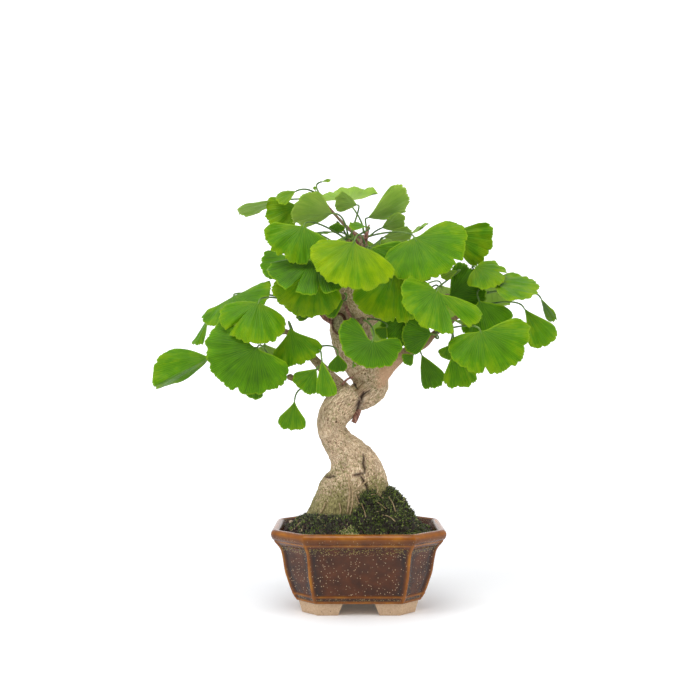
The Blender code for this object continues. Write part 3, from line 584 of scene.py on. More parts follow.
# Moss: a living cushion of short leafy stems that grew over the roots on the right,
# with thin patches of the same moss spread over the soil.
MOSS_CENTRE = (19.0, -8.0)
# Height above the soil and half-widths across and deep
MOSS_RINGS = ((0.0, 27.0, 25.0), (8.0, 25.5, 24.0), (18.0, 19.0, 18.0), (27.0, 12.0, 12.0), (32.5, 5.0, 5.0))
MOSS_LEAN_TO_TRUNK = -0.06
MOSS_LEAN_BACK = 0.12
MOUND_SIDES = 120
FRONT_CENTRE = (7.0, -19.0)
FRONT_RINGS = ((0.0, 19.0, 17.0), (10.0, 16.5, 14.0), (20.0, 12.5, 9.5), (28.0, 8.0, 6.0), (32.0, 3.0, 3.0))
MOUND_STEMS = 8500
PATCH_STEMS = 6500
STEM_CORNERS = 5
# Middle, radius and how bright the moss is in each patch
PATCHES = (
    (-7.0, -37.0, 6.0, 0.85), (33.0, -24.0, 13.0, 0.4), (-25.0, -28.0, 13.0, 0.3), (8.0, -33.0, 11.0, 0.35),
    (24.0, -30.0, 12.0, 0.3), (-10.0, -30.0, 9.0, 0.3), (-34.0, -22.0, 10.0, 0.3), (40.0, -8.0, 10.0, 0.35),
    (-40.0, -8.0, 12.0, 0.4), (-30.0, 30.0, 14.0, 0.5), (20.0, 34.0, 13.0, 0.4), (44.0, 8.0, 10.0, 0.4),
    (48.0, -18.0, 8.0, 0.3), (-48.0, 18.0, 9.0, 0.3), (0.0, 40.0, 9.0, 0.5),
)

# Moss: dull, from brown dead stems through dark olive to yellow-green and straw tips.
moss, tree = new_material("cushion_moss")
fresh = node(tree, "Attribute", {"attribute_name": "fresh"}).outputs["Fac"]
moss_greens = [
    (0.0, "#2A1F19"), (0.2, "#26230F"), (0.42, "#414D18"), (0.66, "#647A20"), (0.85, "#93A04C"), (1.0, "#C4B284"),
]
moss_tint = node(tree, "ValToRGB", {"stops": moss_greens}, {"Fac": fresh})
leafy = node(tree, "BsdfPrincipled", {"Roughness": 0.75, "IOR": 1.4, "Sheen Weight": 0.15}, {"Base Color": moss_tint})
node(tree, "OutputMaterial", {}, {"Surface": leafy})


def gathered(solids):
    """Several solids as one list of points and one of faces."""
    points, faces, count = [], [], 0
    for some_points, some_faces in solids:
        points.append(some_points)
        faces += [tuple(i + count for i in face) for face in some_faces]
        count += len(some_points)
    return np.vstack(points), faces


moss_turns = full_turn(MOUND_SIDES)
outward = np.column_stack((np.cos(moss_turns), np.sin(moss_turns), np.zeros(MOUND_SIDES)))
mounds = []
for centre, table, lean in ((MOSS_CENTRE, MOSS_RINGS, MOSS_LEAN_TO_TRUNK), (FRONT_CENTRE, FRONT_RINGS, 0.0)):
    moss_rows = []
    for rise, wide, deep in smooth_route(table, 1.1):
        x = centre[0] + lean * rise + wide * np.cos(moss_turns)
        y = centre[1] + MOSS_LEAN_BACK * rise + deep * np.sin(moss_turns)
        ring = np.column_stack((x, y, np.full(MOUND_SIDES, SOIL_TOP - 1 + rise)))
        swell = 3.2 * rough(ring, 9.0, 2.0) + 1.8 * rough(ring, 4.0, 5.0) + 0.8 * rough(ring, 1.6, 8.0) - 0.2
        moss_rows.append(ring + outward * swell[:, None])
    mounds.append(np.array(moss_rows))
mound_points, mound_faces = gathered([closed_prism(list(rows)) for rows in mounds])
mound_fresh = np.clip(0.16 + 0.5 * rough(mound_points, 5.0, 3.0), 0.0, 0.5)


def stems(places, ways, lengths, width):
    """Pointed moss leaflets, each a slim closed spindle."""
    ways = unit(ways)
    side = unit(np.cross(ways, RNG.normal(size=ways.shape)))
    other = np.cross(ways, side)
    lengths = lengths[:, None]
    belt = places + ways * lengths * 0.45
    rim = [belt + width * (side * math.cos(t) + other * math.sin(t)) for t in (0.0, 2.09, 4.19)]
    points = np.stack((places, *rim, places + ways * lengths), 1).reshape(-1, 3)
    one = np.array(((0, 2, 1), (0, 3, 2), (0, 1, 3), (4, 1, 2), (4, 2, 3), (4, 3, 1)))
    faces = (one[None] + STEM_CORNERS * np.arange(len(places))[:, None, None]).reshape(-1, 3)
    return points, faces


chosen = RNG.integers(MOUND_SIDES, len(mound_points) - MOUND_SIDES, MOUND_STEMS)
stem_places = mound_points[chosen] + RNG.normal(0, 0.4, (MOUND_STEMS, 3))
stem_ways = outward[chosen % MOUND_SIDES] + (0.0, 0.0, 0.7) + RNG.normal(0, 0.6, (MOUND_STEMS, 3))
stem_points, stem_faces = stems(stem_places, stem_ways, RNG.uniform(1.4, 3.6, MOUND_STEMS), 0.5)
stem_fresh = np.repeat(np.clip(RNG.normal(0.36, 0.26, MOUND_STEMS), 0.0, 1.0), STEM_CORNERS)
body(
    "moss_cushion", *gathered([(mound_points, mound_faces), (stem_points, stem_faces)]),
    [moss], replaced="moss_mound", slot="moss", marks={"fresh": np.concatenate((mound_fresh, stem_fresh))},
)
patch_table = np.array(PATCHES)[RNG.integers(0, len(PATCHES), PATCH_STEMS)]
turn_of = RNG.uniform(0, 2 * math.pi, PATCH_STEMS)
reach_of = np.sqrt(RNG.uniform(0, 1, PATCH_STEMS)) * patch_table[:, 2]
patch_x, patch_y = patch_table[:, 0] + reach_of * np.cos(turn_of), patch_table[:, 1] + reach_of * np.sin(turn_of)
inside = inside_pot(patch_x, patch_y, 1.0)
patch_x, patch_y, patch_bright = patch_x[inside], patch_y[inside], patch_table[inside, 3]
patch_places = np.column_stack((patch_x, patch_y, soil_height(patch_x, patch_y) - 0.2))
patch_ways = np.column_stack((RNG.normal(0, 0.6, (len(patch_x), 2)), np.ones(len(patch_x))))
points, faces = stems(patch_places, patch_ways, RNG.uniform(1.4, 3.4, len(patch_x)), 0.48)
patch_fresh = np.repeat(np.clip(patch_bright + RNG.normal(0, 0.24, len(patch_x)), 0.0, 1), STEM_CORNERS)
body("moss_patches", points, faces, [moss], slot="moss", marks={"fresh": patch_fresh})

# Straw: dry grass ends and bark fibres, about a centimetre long, that fell on the soil
# and lie loose there. A few thin roots of the tree show on the moss in the same way.
STRAW_COUNT = 70
STRAW_LENGTHS = (4, 13)
STRAW_HALF_WIDTHS = (0.16, 0.34)
# Fibre: dry, pale yellow-brown, in uneven strands.
straw, tree = new_material("dry_grass_and_root_fibre")
place = node(tree, "TexCoord").outputs["Object"]
grain = node(tree, "TexNoise", {"Scale": 900.0, "Detail": 3.0}, {"Vector": place})
straw_tint = node(tree, "ValToRGB", {"stops": [(0.3, "#7A6344"), (0.7, "#B8A27A")]}, {"Fac": grain})
relief = node(tree, "Bump", {"Strength": 0.3, "Distance": 0.0002}, {"Height": grain})
fibrous = node(tree, "BsdfPrincipled", {"Roughness": 0.7, "IOR": 1.5}, {"Base Color": straw_tint, "Normal": relief})
node(tree, "OutputMaterial", {}, {"Surface": fibrous})


def followed(route, step):
    """A smooth route's centres, its two half-widths and its directions."""
    line = smooth_route([(*stop[0], stop[1], stop[-1]) for stop in route], step)
    return line[:, :3], line[:, 3:], unit(np.gradient(line[:, :3], axis=0))


def tube(route, sides, step):
    """A smooth tube along stops of (place, half-width across, half-width deep)."""
    centres, halves, ways = followed(route, step)
    around = full_turn(sides)
    deep = np.array((0.0, 1.0, 0.0)) if abs(ways[0][1]) < 0.8 else np.array((1.0, 0.0, 0.0))
    rings = []
    for centre, way, (wide, thick) in zip(centres, ways, halves):
        deep = deep - way * np.dot(deep, way)
        deep = deep / np.linalg.norm(deep)
        across = np.cross(deep, way)
        rings.append(centre + np.outer(np.cos(around) * wide, across) + np.outer(np.sin(around) * thick, deep))
    return closed_prism(rings)


# Thin roots that show on the moss: their places across and up, in front of the mound
SURFACE_ROOTS = (
    ((12.0, 80.0), (16.0, 77.0), (20.0, 74.0)), ((22.0, 82.0), (25.0, 77.0), (26.5, 72.0)),
    ((2.0, 78.0), (4.0, 73.0), (5.0, 69.0)), ((17.0, 70.0), (22.0, 69.0), (26.0, 66.0)),
    ((9.0, 84.0), (14.0, 83.5), (18.0, 81.0)),
)


def front_of(surface, x, z):
    """The point of a surface that faces the viewer at x and z."""
    found = surface[np.hypot(surface[:, 0] - x, surface[:, 2] - z) < 2.0]
    return np.array((x, found[:, 1].min(), z))


bits = []
for _ in range(STRAW_COUNT):
    x, y = RNG.uniform((-50, -46), (50, 44))
    if not inside_pot(x, y, 5.0):
        continue
    turn, length = RNG.uniform(0, 2 * math.pi), RNG.uniform(*STRAW_LENGTHS)
    steps = np.linspace(-0.5, 0.5, 5) * length
    curve = RNG.normal(0, 0.07) * (steps**2) / length * 2
    xs = x + steps * math.cos(turn) - curve * math.sin(turn)
    ys = y + steps * math.sin(turn) + curve * math.cos(turn)
    zs = soil_height(xs, ys) + 0.5
    radius = RNG.uniform(*STRAW_HALF_WIDTHS)
    bits.append(tube([((a, b, c), radius) for a, b, c in zip(xs, ys, zs)], 6, 1.5))
for stops in SURFACE_ROOTS:
    bits.append(tube([(front_of(mound_points, x, z) - (0.0, 0.3, 0.0), 0.36) for x, z in stops], 7, 1.5))
body("straw_bits", *gathered(bits), [straw], slot="bonsai_soil")

# Trunk: the living wood, grown in one piece from the root flare to the twigs. Old
# ginkgo bark is corky and fibrous, beige, and takes on moss and algae near the soil.
# Each stop: the centre, then the half-widths across and deep, from the soil up
TRUNK = (
    ((-2.0, 2.0, 42.0), 37.0, 28.0),
    ((-2.0, 2.0, 52.0), 39.5, 29.0),
    ((-2.5, 1.0, 64.0), 38.0, 27.0),
    ((-3.0, 0.0, 74.0), 32.5, 24.0),
    ((-3.0, -1.0, 84.0), 27.5, 21.0),
    ((-2.5, -2.0, 94.0), 24.0, 19.0),
    ((-3.5, -3.0, 103.0), 19.5, 17.0),
    ((-8.0, -4.0, 112.0), 15.0, 14.5),
    ((-15.0, -5.0, 120.5), 11.5, 12.5),
    ((-20.0, -6.0, 130.0), 10.5, 12.0),
    ((-18.5, -6.0, 140.5), 11.5, 12.5),
    ((-12.0, -5.0, 149.0), 12.5, 13.0),
    ((-3.0, -3.0, 156.0), 12.0, 13.0),
)
TRUNK_UPPER = (
    ((-5.0, -2.0, 152.0), 8.0, 9.0),
    ((2.0, 2.0, 155.0), 11.0, 12.5),
    ((10.0, 6.0, 163.0), 12.5, 14.0),
    ((7.0, 6.0, 173.0), 13.0, 14.5),
    ((1.5, 4.0, 182.0), 13.5, 14.5),
    ((-3.0, 2.0, 192.0), 15.5, 15.0),
    ((-5.5, 1.0, 202.0), 15.5, 14.5),
    ((-8.5, 0.0, 212.0), 13.0, 13.0),
    ((-8.5, 0.0, 222.0), 11.0, 11.0),
    ((-5.0, 1.0, 236.0), 8.0, 8.0),
    ((0.0, 3.0, 252.0), 5.5, 5.5),
    ((4.0, 6.0, 275.0), 2.4, 2.4),
)
SPUR_RADIUS = 3.0
# Share of that radius that the knob on the wood takes
SPUR_DRAWN = 0.86
TRUNK_SIDES = (64, 56)
TRUNK_STEP = 3.0

# Branches: route and half-width at each point
BRANCHES = {
    "right": (
        ((6.0, 2.0, 160.0), 8.0), ((16.0, -2.0, 169.0), 6.2), ((26.0, -4.0, 179.0), 4.6),
        ((36.0, -8.0, 188.0), 3.9), ((48.0, -12.0, 193.0), 3.3), ((56.0, -12.0, 201.0), 2.6),
        ((68.0, -13.0, 210.0), 2.1), ((80.0, -6.0, 218.0), 1.7),
    ),
    "low_left": (
        ((-10.0, -2.0, 156.0), 5.5), ((-26.0, -6.0, 160.0), 3.6), ((-38.0, -10.0, 162.0), 2.8),
        ((-50.0, -16.0, 169.0), 2.0),
    ),
    "left": (
        ((-10.0, 0.0, 158.0), 6.0), ((-26.0, -5.0, 175.0), 4.0), ((-37.0, -8.0, 187.0), 3.0),
        ((-48.0, -8.0, 200.0), 2.4), ((-64.0, -8.0, 206.0), 1.8), ((-84.0, -8.0, 212.0), 1.5),
    ),
    "left_upper": (((-8.0, 0.0, 208.0), 6.0), ((-30.0, -2.0, 221.0), 2.8), ((-50.0, -4.0, 227.0), 1.9)),
    "inner_left": (((-6.0, 0.0, 224.0), 5.0), ((-18.0, 1.0, 233.0), 2.8), ((-30.0, 5.0, 250.0), 1.9)),
    "leader_left": (((0.0, 3.0, 256.0), 4.0), ((-4.0, 1.0, 264.0), 2.4), ((-7.0, -1.0, 271.0), 1.8)),
    "leader_front": (((2.0, 4.0, 258.0), 3.6), ((4.0, -2.0, 263.0), 2.2), ((5.0, -6.0, 267.0), 1.8)),
    "shoot": (((4.0, 6.0, 274.0), 2.0), ((-9.0, 7.0, 284.0), 1.5), ((-27.0, -3.0, 302.0), 1.2)),
    "right_top": (
        ((0.0, 2.0, 242.0), 4.5), ((16.0, 5.0, 248.0), 2.8), ((32.0, 11.0, 256.0), 2.2),
        ((47.0, 14.0, 263.0), 1.6),
    ),
    "upper_right": (
        ((-2.0, 3.0, 210.0), 7.0), ((24.0, 8.0, 221.0), 3.6), ((50.0, 8.0, 228.0), 2.8),
        ((74.0, 5.0, 231.0), 2.2), ((94.0, 3.0, 232.0), 1.7),
    ),
    "front_twig": (((-4.0, -8.0, 206.0), 3.2), ((-8.0, -15.0, 217.0), 2.0), ((-12.0, -17.0, 228.0), 1.5)),
    "front_low": (((-3.0, -5.0, 207.0), 3.4), ((0.0, -10.0, 209.5), 2.4), ((3.0, -15.0, 211.0), 1.8)),
    "back_left": (((-6.0, 6.0, 204.0), 5.0), ((-18.0, 24.0, 216.0), 2.8), ((-30.0, 40.0, 226.0), 1.8)),
    "back_right": (((2.0, 6.0, 206.0), 5.0), ((20.0, 26.0, 220.0), 3.0), ((36.0, 44.0, 230.0), 1.9)),
    "back_top": (((-2.0, 3.0, 244.0), 4.0), ((-1.0, 18.0, 254.0), 2.4), ((0.0, 32.0, 262.0), 1.7)),
    "back_low": (((6.0, 8.0, 170.0), 6.0), ((7.0, 26.0, 188.0), 3.2), ((4.0, 40.0, 200.0), 2.0)),
}
# Spurs: the short swollen shoots that the petioles grow from
SPURS = {
    "leader": (4.0, 6.0, 275.0),
    "leader_left": (-7.0, -1.0, 271.0),
    "leader_front": (5.0, -6.0, 267.0),
    "top_shoot": (-27.0, -3.0, 302.0),
    "right_top": (47.0, 14.0, 263.0),
    "crown_right": (16.0, 3.0, 248.0),
    "upper_left": (-30.0, 5.0, 250.0),
    "inner_left": (-18.0, 0.0, 232.0),
    "left_upper": (-50.0, -4.0, 227.0),
    "left_spur": (-48.0, -8.0, 200.0),
    "left_outer": (-84.0, -8.0, 212.0),
    "left_inner": (-37.0, -9.0, 187.0),
    "low_left": (-50.0, -16.0, 169.0),
    "low_left_inner": (-38.0, -11.0, 161.0),
    "front_low": (3.0, -15.0, 211.0),
    "front_twig": (-12.0, -17.0, 228.0),
    "right_spur": (56.0, -12.0, 201.0),
    "right_mid": (68.0, -13.0, 210.0),
    "right_outer": (80.0, -6.0, 218.0),
    "upper_right_inner": (50.0, 7.0, 228.0),
    "upper_right": (94.0, 3.0, 232.0),
    "back_left": (-30.0, 40.0, 226.0),
    "back_right": (36.0, 44.0, 230.0),
    "back_top": (0.0, 32.0, 262.0),
    "back_low": (4.0, 40.0, 200.0),
}
BARK_FACE = 0.8
TWIG_SIDES = 14
BARK_TURN = 0.35
SKIN_RELAX = 0.5
SKIN_RELAX_ROUNDS = 3
CRACK_DEPTH = 1.1


def fused(solids, width):
    """Overlapping solids grown into one skin, with faces about width millimetres wide."""
    points, faces = gathered(solids)
    mesh = bpy.data.meshes.new("blank")
    mesh.from_pydata(points.tolist(), [], faces)
    item = added("blank", mesh)
    skin = item.modifiers.new("skin", "REMESH")
    skin.mode = "VOXEL"
    skin.voxel_size = width
    relax = item.modifiers.new("relax", "SMOOTH")
    relax.factor = SKIN_RELAX
    relax.iterations = SKIN_RELAX_ROUNDS
    result = bpy.data.meshes.new_from_object(item.evaluated_get(bpy.context.evaluated_depsgraph_get()))
    bpy.data.objects.remove(item, do_unlink=True)
    read = []
    for kind in ("co", "normal"):
        values = np.empty(len(result.vertices) * 3, np.float32)
        result.vertices.foreach_get(kind, values)
        read.append(values.reshape(-1, 3).astype(float))
    return *read, [tuple(p.vertices) for p in result.polygons]


wood = [tube(route, sides, TRUNK_STEP) for route, sides in zip((TRUNK, TRUNK_UPPER), TRUNK_SIDES)]
for route in BRANCHES.values():
    wood.append(tube([(place, max(half - 0.1, 1.0)) for place, half in route], TWIG_SIDES, 1.5))
for centre in SPURS.values():
    knob = bmesh.new()
    bmesh.ops.create_icosphere(knob, subdivisions=3, radius=SPUR_RADIUS * SPUR_DRAWN)
    knob_points, knob_faces = taken(knob)
    # A spur is ringed with the scars of the leaves of past years
    rings = 1 + 0.09 * np.sin(knob_points[:, 2] * 5.2) + 0.08 * rough(knob_points, 1.6, centre[0])
    wood.append((knob_points * rings[:, None] + np.array(centre), knob_faces))
bark_points, bark_normals, bark_faces = fused(wood, BARK_FACE)

# The nearest place along the trunk or a branch gives the bark's own directions: two
# across the wood and one along it
routes = [TRUNK, TRUNK_UPPER, *BRANCHES.values()]
way_places, way_across, way_deep, way_length, way_radius, way_kind = [], [], [], [], [], []
for kind, route in enumerate(routes):
    centres, halves, ways = followed(route, 2.0)
    length = np.concatenate(((0,), np.cumsum(np.linalg.norm(np.diff(centres, axis=0), axis=1))))
    reference = np.array((0.0, 1.0, 0.0)) if abs(ways[:, 1]).mean() < 0.6 else np.array((0.0, 0.0, 1.0))
    deep = unit(reference - ways * (ways @ reference)[:, None])
    way_places.append(centres)
    way_deep.append(deep)
    way_across.append(np.cross(deep, ways))
    # An offset for each branch, so that no two show the same strands
    way_length.append(length + 37.0 * kind)
    way_radius.append(halves[:, 0])
    way_kind.append(np.full(len(centres), kind))
way_places, way_across, way_deep = np.vstack(way_places), np.vstack(way_across), np.vstack(way_deep)
way_length, way_radius, way_kind = map(np.concatenate, (way_length, way_radius, way_kind))
nearest = []
for some_points in np.array_split(bark_points, len(bark_points) // 4000 + 1):
    apart = np.linalg.norm(some_points[:, None] - way_places[None], axis=2) / (way_radius[None] + 1.5)
    nearest.append(apart.argmin(1))
nearest = np.concatenate(nearest)
outward = bark_points - way_places[nearest]
turned = way_length[nearest] * BARK_TURN / 20
across_part = (outward * way_across[nearest]).sum(1)
deep_part = (outward * way_deep[nearest]).sum(1)
bark_place = np.column_stack((
    across_part * np.cos(turned) - deep_part * np.sin(turned),
    across_part * np.sin(turned) + deep_part * np.cos(turned),
    way_length[nearest] * 0.8,
))
radius = way_radius[nearest]
thick = ease(radius, 2.0, 12.0)
height = bark_points[:, 2]
around = np.arctan2(outward[:, 1], outward[:, 0])
root = ease(-height, -88.0, -62.0) * (way_kind[nearest] == 0)
rise = 0.75 * thick * rough(bark_points, 14.0) + 0.3 * thick * rough(bark_points, 5.0, 3.0)
rise += (0.18 + 0.42 * thick) * rough(bark_place, 2.9, 5.0) + (0.1 + 0.3 * thick) * rough(bark_place, 1.3, 9.0)
rise += root * (1.6 * np.sin(7 * around + 2 * rough(bark_points, 18.0, 6.0)) - 0.8)
bark_points = bark_points + bark_normals * rise[:, None]

# Corky beige bark, dry and matt, in fine strands that run along the wood; algae and
# moss turn it olive towards the soil, young wood is smoother and browner, and shade
# is painted dark brown into its cracks.
bark, tree = new_material("ginkgo_bark")
grain_place = node(tree, "Attribute", {"attribute_name": "grain"}).outputs["Vector"]
millimetres = in_millimetres(tree)
algae, young, salmon, painted_crack_shade = (
    node(tree, "Attribute", {"attribute_name": mark}).outputs["Fac"] for mark in ("algae", "young", "salmon", "crack")
)
# Strands are just under a millimetre wide
strands = node(tree, "TexNoise", {"Scale": 1 / 0.9, "Detail": 5.0, "Roughness": 0.6}, {"Vector": grain_place})
cork = node(
    tree, "ValToRGB", {"stops": [(0.3, "#4B3527"), (0.4, "#9A7B60"), (0.52, "#CDB392"), (0.66, "#EEDDC0")]},
    {"Fac": strands},
)
blotch = node(tree, "TexNoise", {"Scale": 1 / 7, "Detail": 4.0}, {"Vector": millimetres})
blotch_part = node(tree, "ValToRGB", {"stops": [(0.45, 0.0), (0.7, 0.5)]}, {"Fac": blotch})
cork = node(tree, "MixRGB", {"Color2": "#8D7B62"}, {"Fac": blotch_part, "Color1": cork})
warm = node(tree, "MixRGB", {"Color2": "#C29877"}, {"Fac": salmon, "Color1": cork})
browner = node(tree, "MixRGB", {"Color2": "#6B5440"}, {"Fac": young, "Color1": warm})
speckle = node(tree, "TexNoise", {"Scale": 1 / 1.7, "Detail": 5.0, "Roughness": 0.7}, {"Vector": millimetres})
algae_part = node(tree, "Math", {"operation": "MULTIPLY_ADD", 1: 1.0}, {0: algae, 2: speckle})
algae_part = node(tree, "ValToRGB", {"stops": [(0.6, 0.0), (0.76, 0.85)]}, {"Fac": algae_part})
olive = node(tree, "ValToRGB", {"stops": [(0.35, "#3A3A18"), (0.65, "#8E8A48")]}, {"Fac": strands})
mossy = node(tree, "MixRGB", {}, {"Fac": algae_part, "Color1": browner, "Color2": olive})
# Painted shade: the bark turns dark brown in its cracks and creases
bark_tint = node(tree, "MixRGB", {"Color2": "#36231A"}, {"Fac": painted_crack_shade, "Color1": mossy})
fine = node(tree, "TexNoise", {"Scale": 1 / 0.5, "Detail": 3.0}, {"Vector": grain_place})
relief = node(tree, "Bump", {"Strength": 0.7, "Distance": 0.0006}, {"Height": strands})
relief = node(tree, "Bump", {"Strength": 0.5, "Distance": 0.0003}, {"Height": fine, "Normal": relief})
corky = node(tree, "BsdfPrincipled", {"Roughness": 0.88, "IOR": 1.45}, {"Base Color": bark_tint, "Normal": relief})
node(tree, "OutputMaterial", {}, {"Surface": corky})

# Cracks and creases in the bark: middle on the front, its direction, half-length and half-width
CRACKS = (
    ((4.5, -25.0, 92.0), (0.6, -1.0), 7.0, 1.1), ((0.5, -24.0, 80.0), (0.5, -1.0), 6.0, 0.9),
    ((1.2, -8.0, 149.0), (0.3, 1.0), 11.5, 2.3), ((-21.0, -16.0, 96.0), (1.0, 0.2), 5.0, 0.9),
    ((5.0, -8.0, 157.0), (0.9, 0.6), 6.0, 0.9), ((-2.0, -12.0, 186.0), (0.3, -1.0), 9.0, 0.7),
    ((4.0, -20.0, 106.0), (0.1, -1.0), 8.0, 1.2), ((0.5, -22.0, 98.5), (1.0, 0.2), 5.5, 1.1),
    ((-2.5, -15.0, 163.0), (-0.7, 1.0), 5.0, 0.7),
)
crack = np.zeros(len(bark_points))
for (x, y, z), (dx, dz), half_length, half_width in CRACKS:
    size = math.hypot(dx, dz)
    dx, dz = dx / size, dz / size
    east, up = bark_points[:, 0] - x, bark_points[:, 2] - z
    along_crack = east * dx + up * dz
    beside = east * dz - up * dx + 1.1 * rough(bark_points, 4.0, x)
    near_front = ease(-bark_points[:, 1], -y - 26.0, -y - 18.0) * (bark_normals[:, 1] < 0.1)
    width_here = half_width * np.clip(1 - (along_crack / half_length) ** 2, 0.05, 1)
    here = hump(beside, 0.0, width_here) * (abs(along_crack) < half_length) * near_front
    bark_points -= bark_normals * (CRACK_DEPTH * here)[:, None]
    crack = np.maximum(crack, here)
algae_here = np.clip(0.3 * ease(-height, -112.0, -62.0) + 0.1 + 0.16 * rough(bark_points, 16.0, 8.0), 0, 0.45)
# Only the right branch, the third route, is reddish
salmon_here = (way_kind[nearest] == 2) * ease(bark_points[:, 0], 10.0, 18.0) * 0.8
young_here = 0.75 * (1 - ease(radius, 2.0, 6.0))
body(
    "trunk_and_branches", bark_points, bark_faces, [bark], replaced="trunk", slot="ginkgo_bark",
    marks={"grain": bark_place, "algae": algae_here, "young": young_here, "salmon": salmon_here, "crack": crack},
)

# Pruning scar: a branch was sawn off here. Its grey-green dead wood is ringed by a
# rolled lip of new bark, dark and reddish.
SCAR_CENTRE = (-14.5, 208.5)
SCAR_HALF_WIDTH = 5.2
SCAR_HALF_HEIGHT = 7.4
SCAR_SIDES = 60
# From behind the lip to the middle: share of the oval's half-axes, how far it stands
# out, and how much of the lip's bark it has
SCAR_RINGS = (
    (1.12, -2.5, 1.0), (1.14, -0.4, 1.0), (1.1, 0.5, 1.0), (1.02, 1.1, 1.0), (0.93, 1.2, 0.9), (0.86, 0.7, 0.8),
    (0.8, 0.1, 0.3), (0.72, -0.1, 0.0), (0.5, 0.1, 0.0), (0.25, 0.2, 0.0), (0.02, 0.2, 0.0),
)
scar_at = front_of(bark_points, *SCAR_CENTRE) + (0.0, 0.6, 0.0)
scar_out = np.array((-0.42, -0.9, 0.05))
scar_out /= np.linalg.norm(scar_out)
scar_side = np.cross(scar_out, (0.0, 0.0, 1.0))
scar_side /= np.linalg.norm(scar_side)
scar_up = np.cross(scar_side, scar_out)
scar_turns = full_turn(SCAR_SIDES)
scar_rows = []
for share, lift, _ in SCAR_RINGS:
    ring = scar_at + np.outer(np.cos(scar_turns) * SCAR_HALF_WIDTH * share, scar_side)
    ring = ring + np.outer(np.sin(scar_turns) * SCAR_HALF_HEIGHT * share, scar_up)
    wobble = 0.35 * rough(ring, 2.4, 3.0) * (share > 0.6) + 0.18 * rough(ring, 1.0, 5.0)
    scar_rows.append(ring + np.outer(lift + wobble, scar_out))
scar_points, scar_faces = closed_prism(scar_rows)
# Sawn wood: grey-green and fibrous in the middle, red-brown callus round it.
scar_wood, tree = new_material("weathered_sawn_wood_and_callus")
lip_part = node(tree, "Attribute", {"attribute_name": "lip"}).outputs["Fac"]
millimetres = in_millimetres(tree)
fibres = node(tree, "TexNoise", {"Scale": 1 / 1.1, "Detail": 4.0}, {"Vector": millimetres})
dead = node(tree, "ValToRGB", {"stops": [(0.3, "#5F5B3A"), (0.5, "#8C8560"), (0.7, "#B3A584")]}, {"Fac": fibres})
callus = node(tree, "ValToRGB", {"stops": [(0.35, "#3A2417"), (0.65, "#6E4631")]}, {"Fac": fibres})
scar_tint = node(tree, "MixRGB", {}, {"Fac": lip_part, "Color1": dead, "Color2": callus})
relief = node(tree, "Bump", {"Strength": 0.6, "Distance": 0.0005}, {"Height": fibres})
weathered = node(
    tree, "BsdfPrincipled", {"Roughness": 0.85, "IOR": 1.45},
    {"Base Color": scar_tint, "Normal": relief},
)
node(tree, "OutputMaterial", {}, {"Surface": weathered})
lip_marks = np.repeat([lip_share for _, _, lip_share in SCAR_RINGS], SCAR_SIDES)
body("pruning_scar", scar_points, scar_faces, [scar_wood], slot="ginkgo_bark", marks={"lip": lip_marks})

# Young wood: this year's twigs, dead stubs and bud spurs have thin, smooth, reddish bark.
# Each is a route of points and a half-width at its two ends.
YOUNG_TWIGS = {
    "front_red_twig": (((-11.3, -14.0, 227.0), (-8.0, -17.5, 218.0), (-3.0, -15.0, 207.0)), 1.2, 1.0),
    "leader_stub": (((4.5, -1.0, 270.0), (6.5, -4.0, 277.0), (8.2, -5.0, 283.5)), 2.3, 0.5),
    "second_stub": (((1.0, 0.0, 268.0), (-2.0, -4.0, 273.0), (-3.0, -6.0, 277.0)), 1.4, 0.5),
    "left_spur_stub": (((-20.0, -8.0, 210.0), (-25.0, -12.0, 212.5), (-28.0, -13.0, 215.5)), 1.9, 1.1),
    "right_root_spur": (((18.0, -4.0, 178.0), (22.0, -9.0, 184.5), (23.5, -11.0, 189.0)), 1.8, 0.8),
    "bend_stub": (((0.0, -7.0, 144.5), (-1.6, -9.5, 139.8), (-3.6, -10.5, 135.6)), 2.3, 1.9),
    "trunk_twig": (((-12.0, -10.0, 163.5), (-8.0, -16.0, 167.5), (-4.0, -18.0, 169.0)), 1.0, 0.6),
    "low_left_knuckle": (((-20.0, -8.0, 160.0), (-25.0, -12.0, 165.0), (-27.0, -13.5, 171.0)), 1.5, 0.8),
}
red_bark, tree = new_material("young_ginkgo_bark")
millimetres = in_millimetres(tree)
flakes = node(tree, "TexNoise", {"Scale": 1 / 1.5, "Detail": 4.0}, {"Vector": millimetres})
red_tint = node(tree, "ValToRGB", {"stops": [(0.3, "#4E2E26"), (0.5, "#835849"), (0.7, "#AE8672")]}, {"Fac": flakes})
relief = node(tree, "Bump", {"Strength": 0.6, "Distance": 0.0004}, {"Height": flakes})
thin_bark = node(tree, "BsdfPrincipled", {"Roughness": 0.7, "IOR": 1.45}, {"Base Color": red_tint, "Normal": relief})
node(tree, "OutputMaterial", {}, {"Surface": thin_bark})
for name, (stops, start_width, end_width) in YOUNG_TWIGS.items():
    widths = np.linspace(start_width, end_width, len(stops))
    points, faces = tube(list(zip(stops, widths)), TWIG_SIDES, 0.8)
    rings = 1 + 0.1 * rough(points, 1.8, 2.0)
    middle = np.repeat(points.reshape(-1, TWIG_SIDES, 3).mean(1), TWIG_SIDES, axis=0)
    body(name, middle + (points - middle) * rings[:, None], faces, [red_bark], slot="ginkgo_bark")

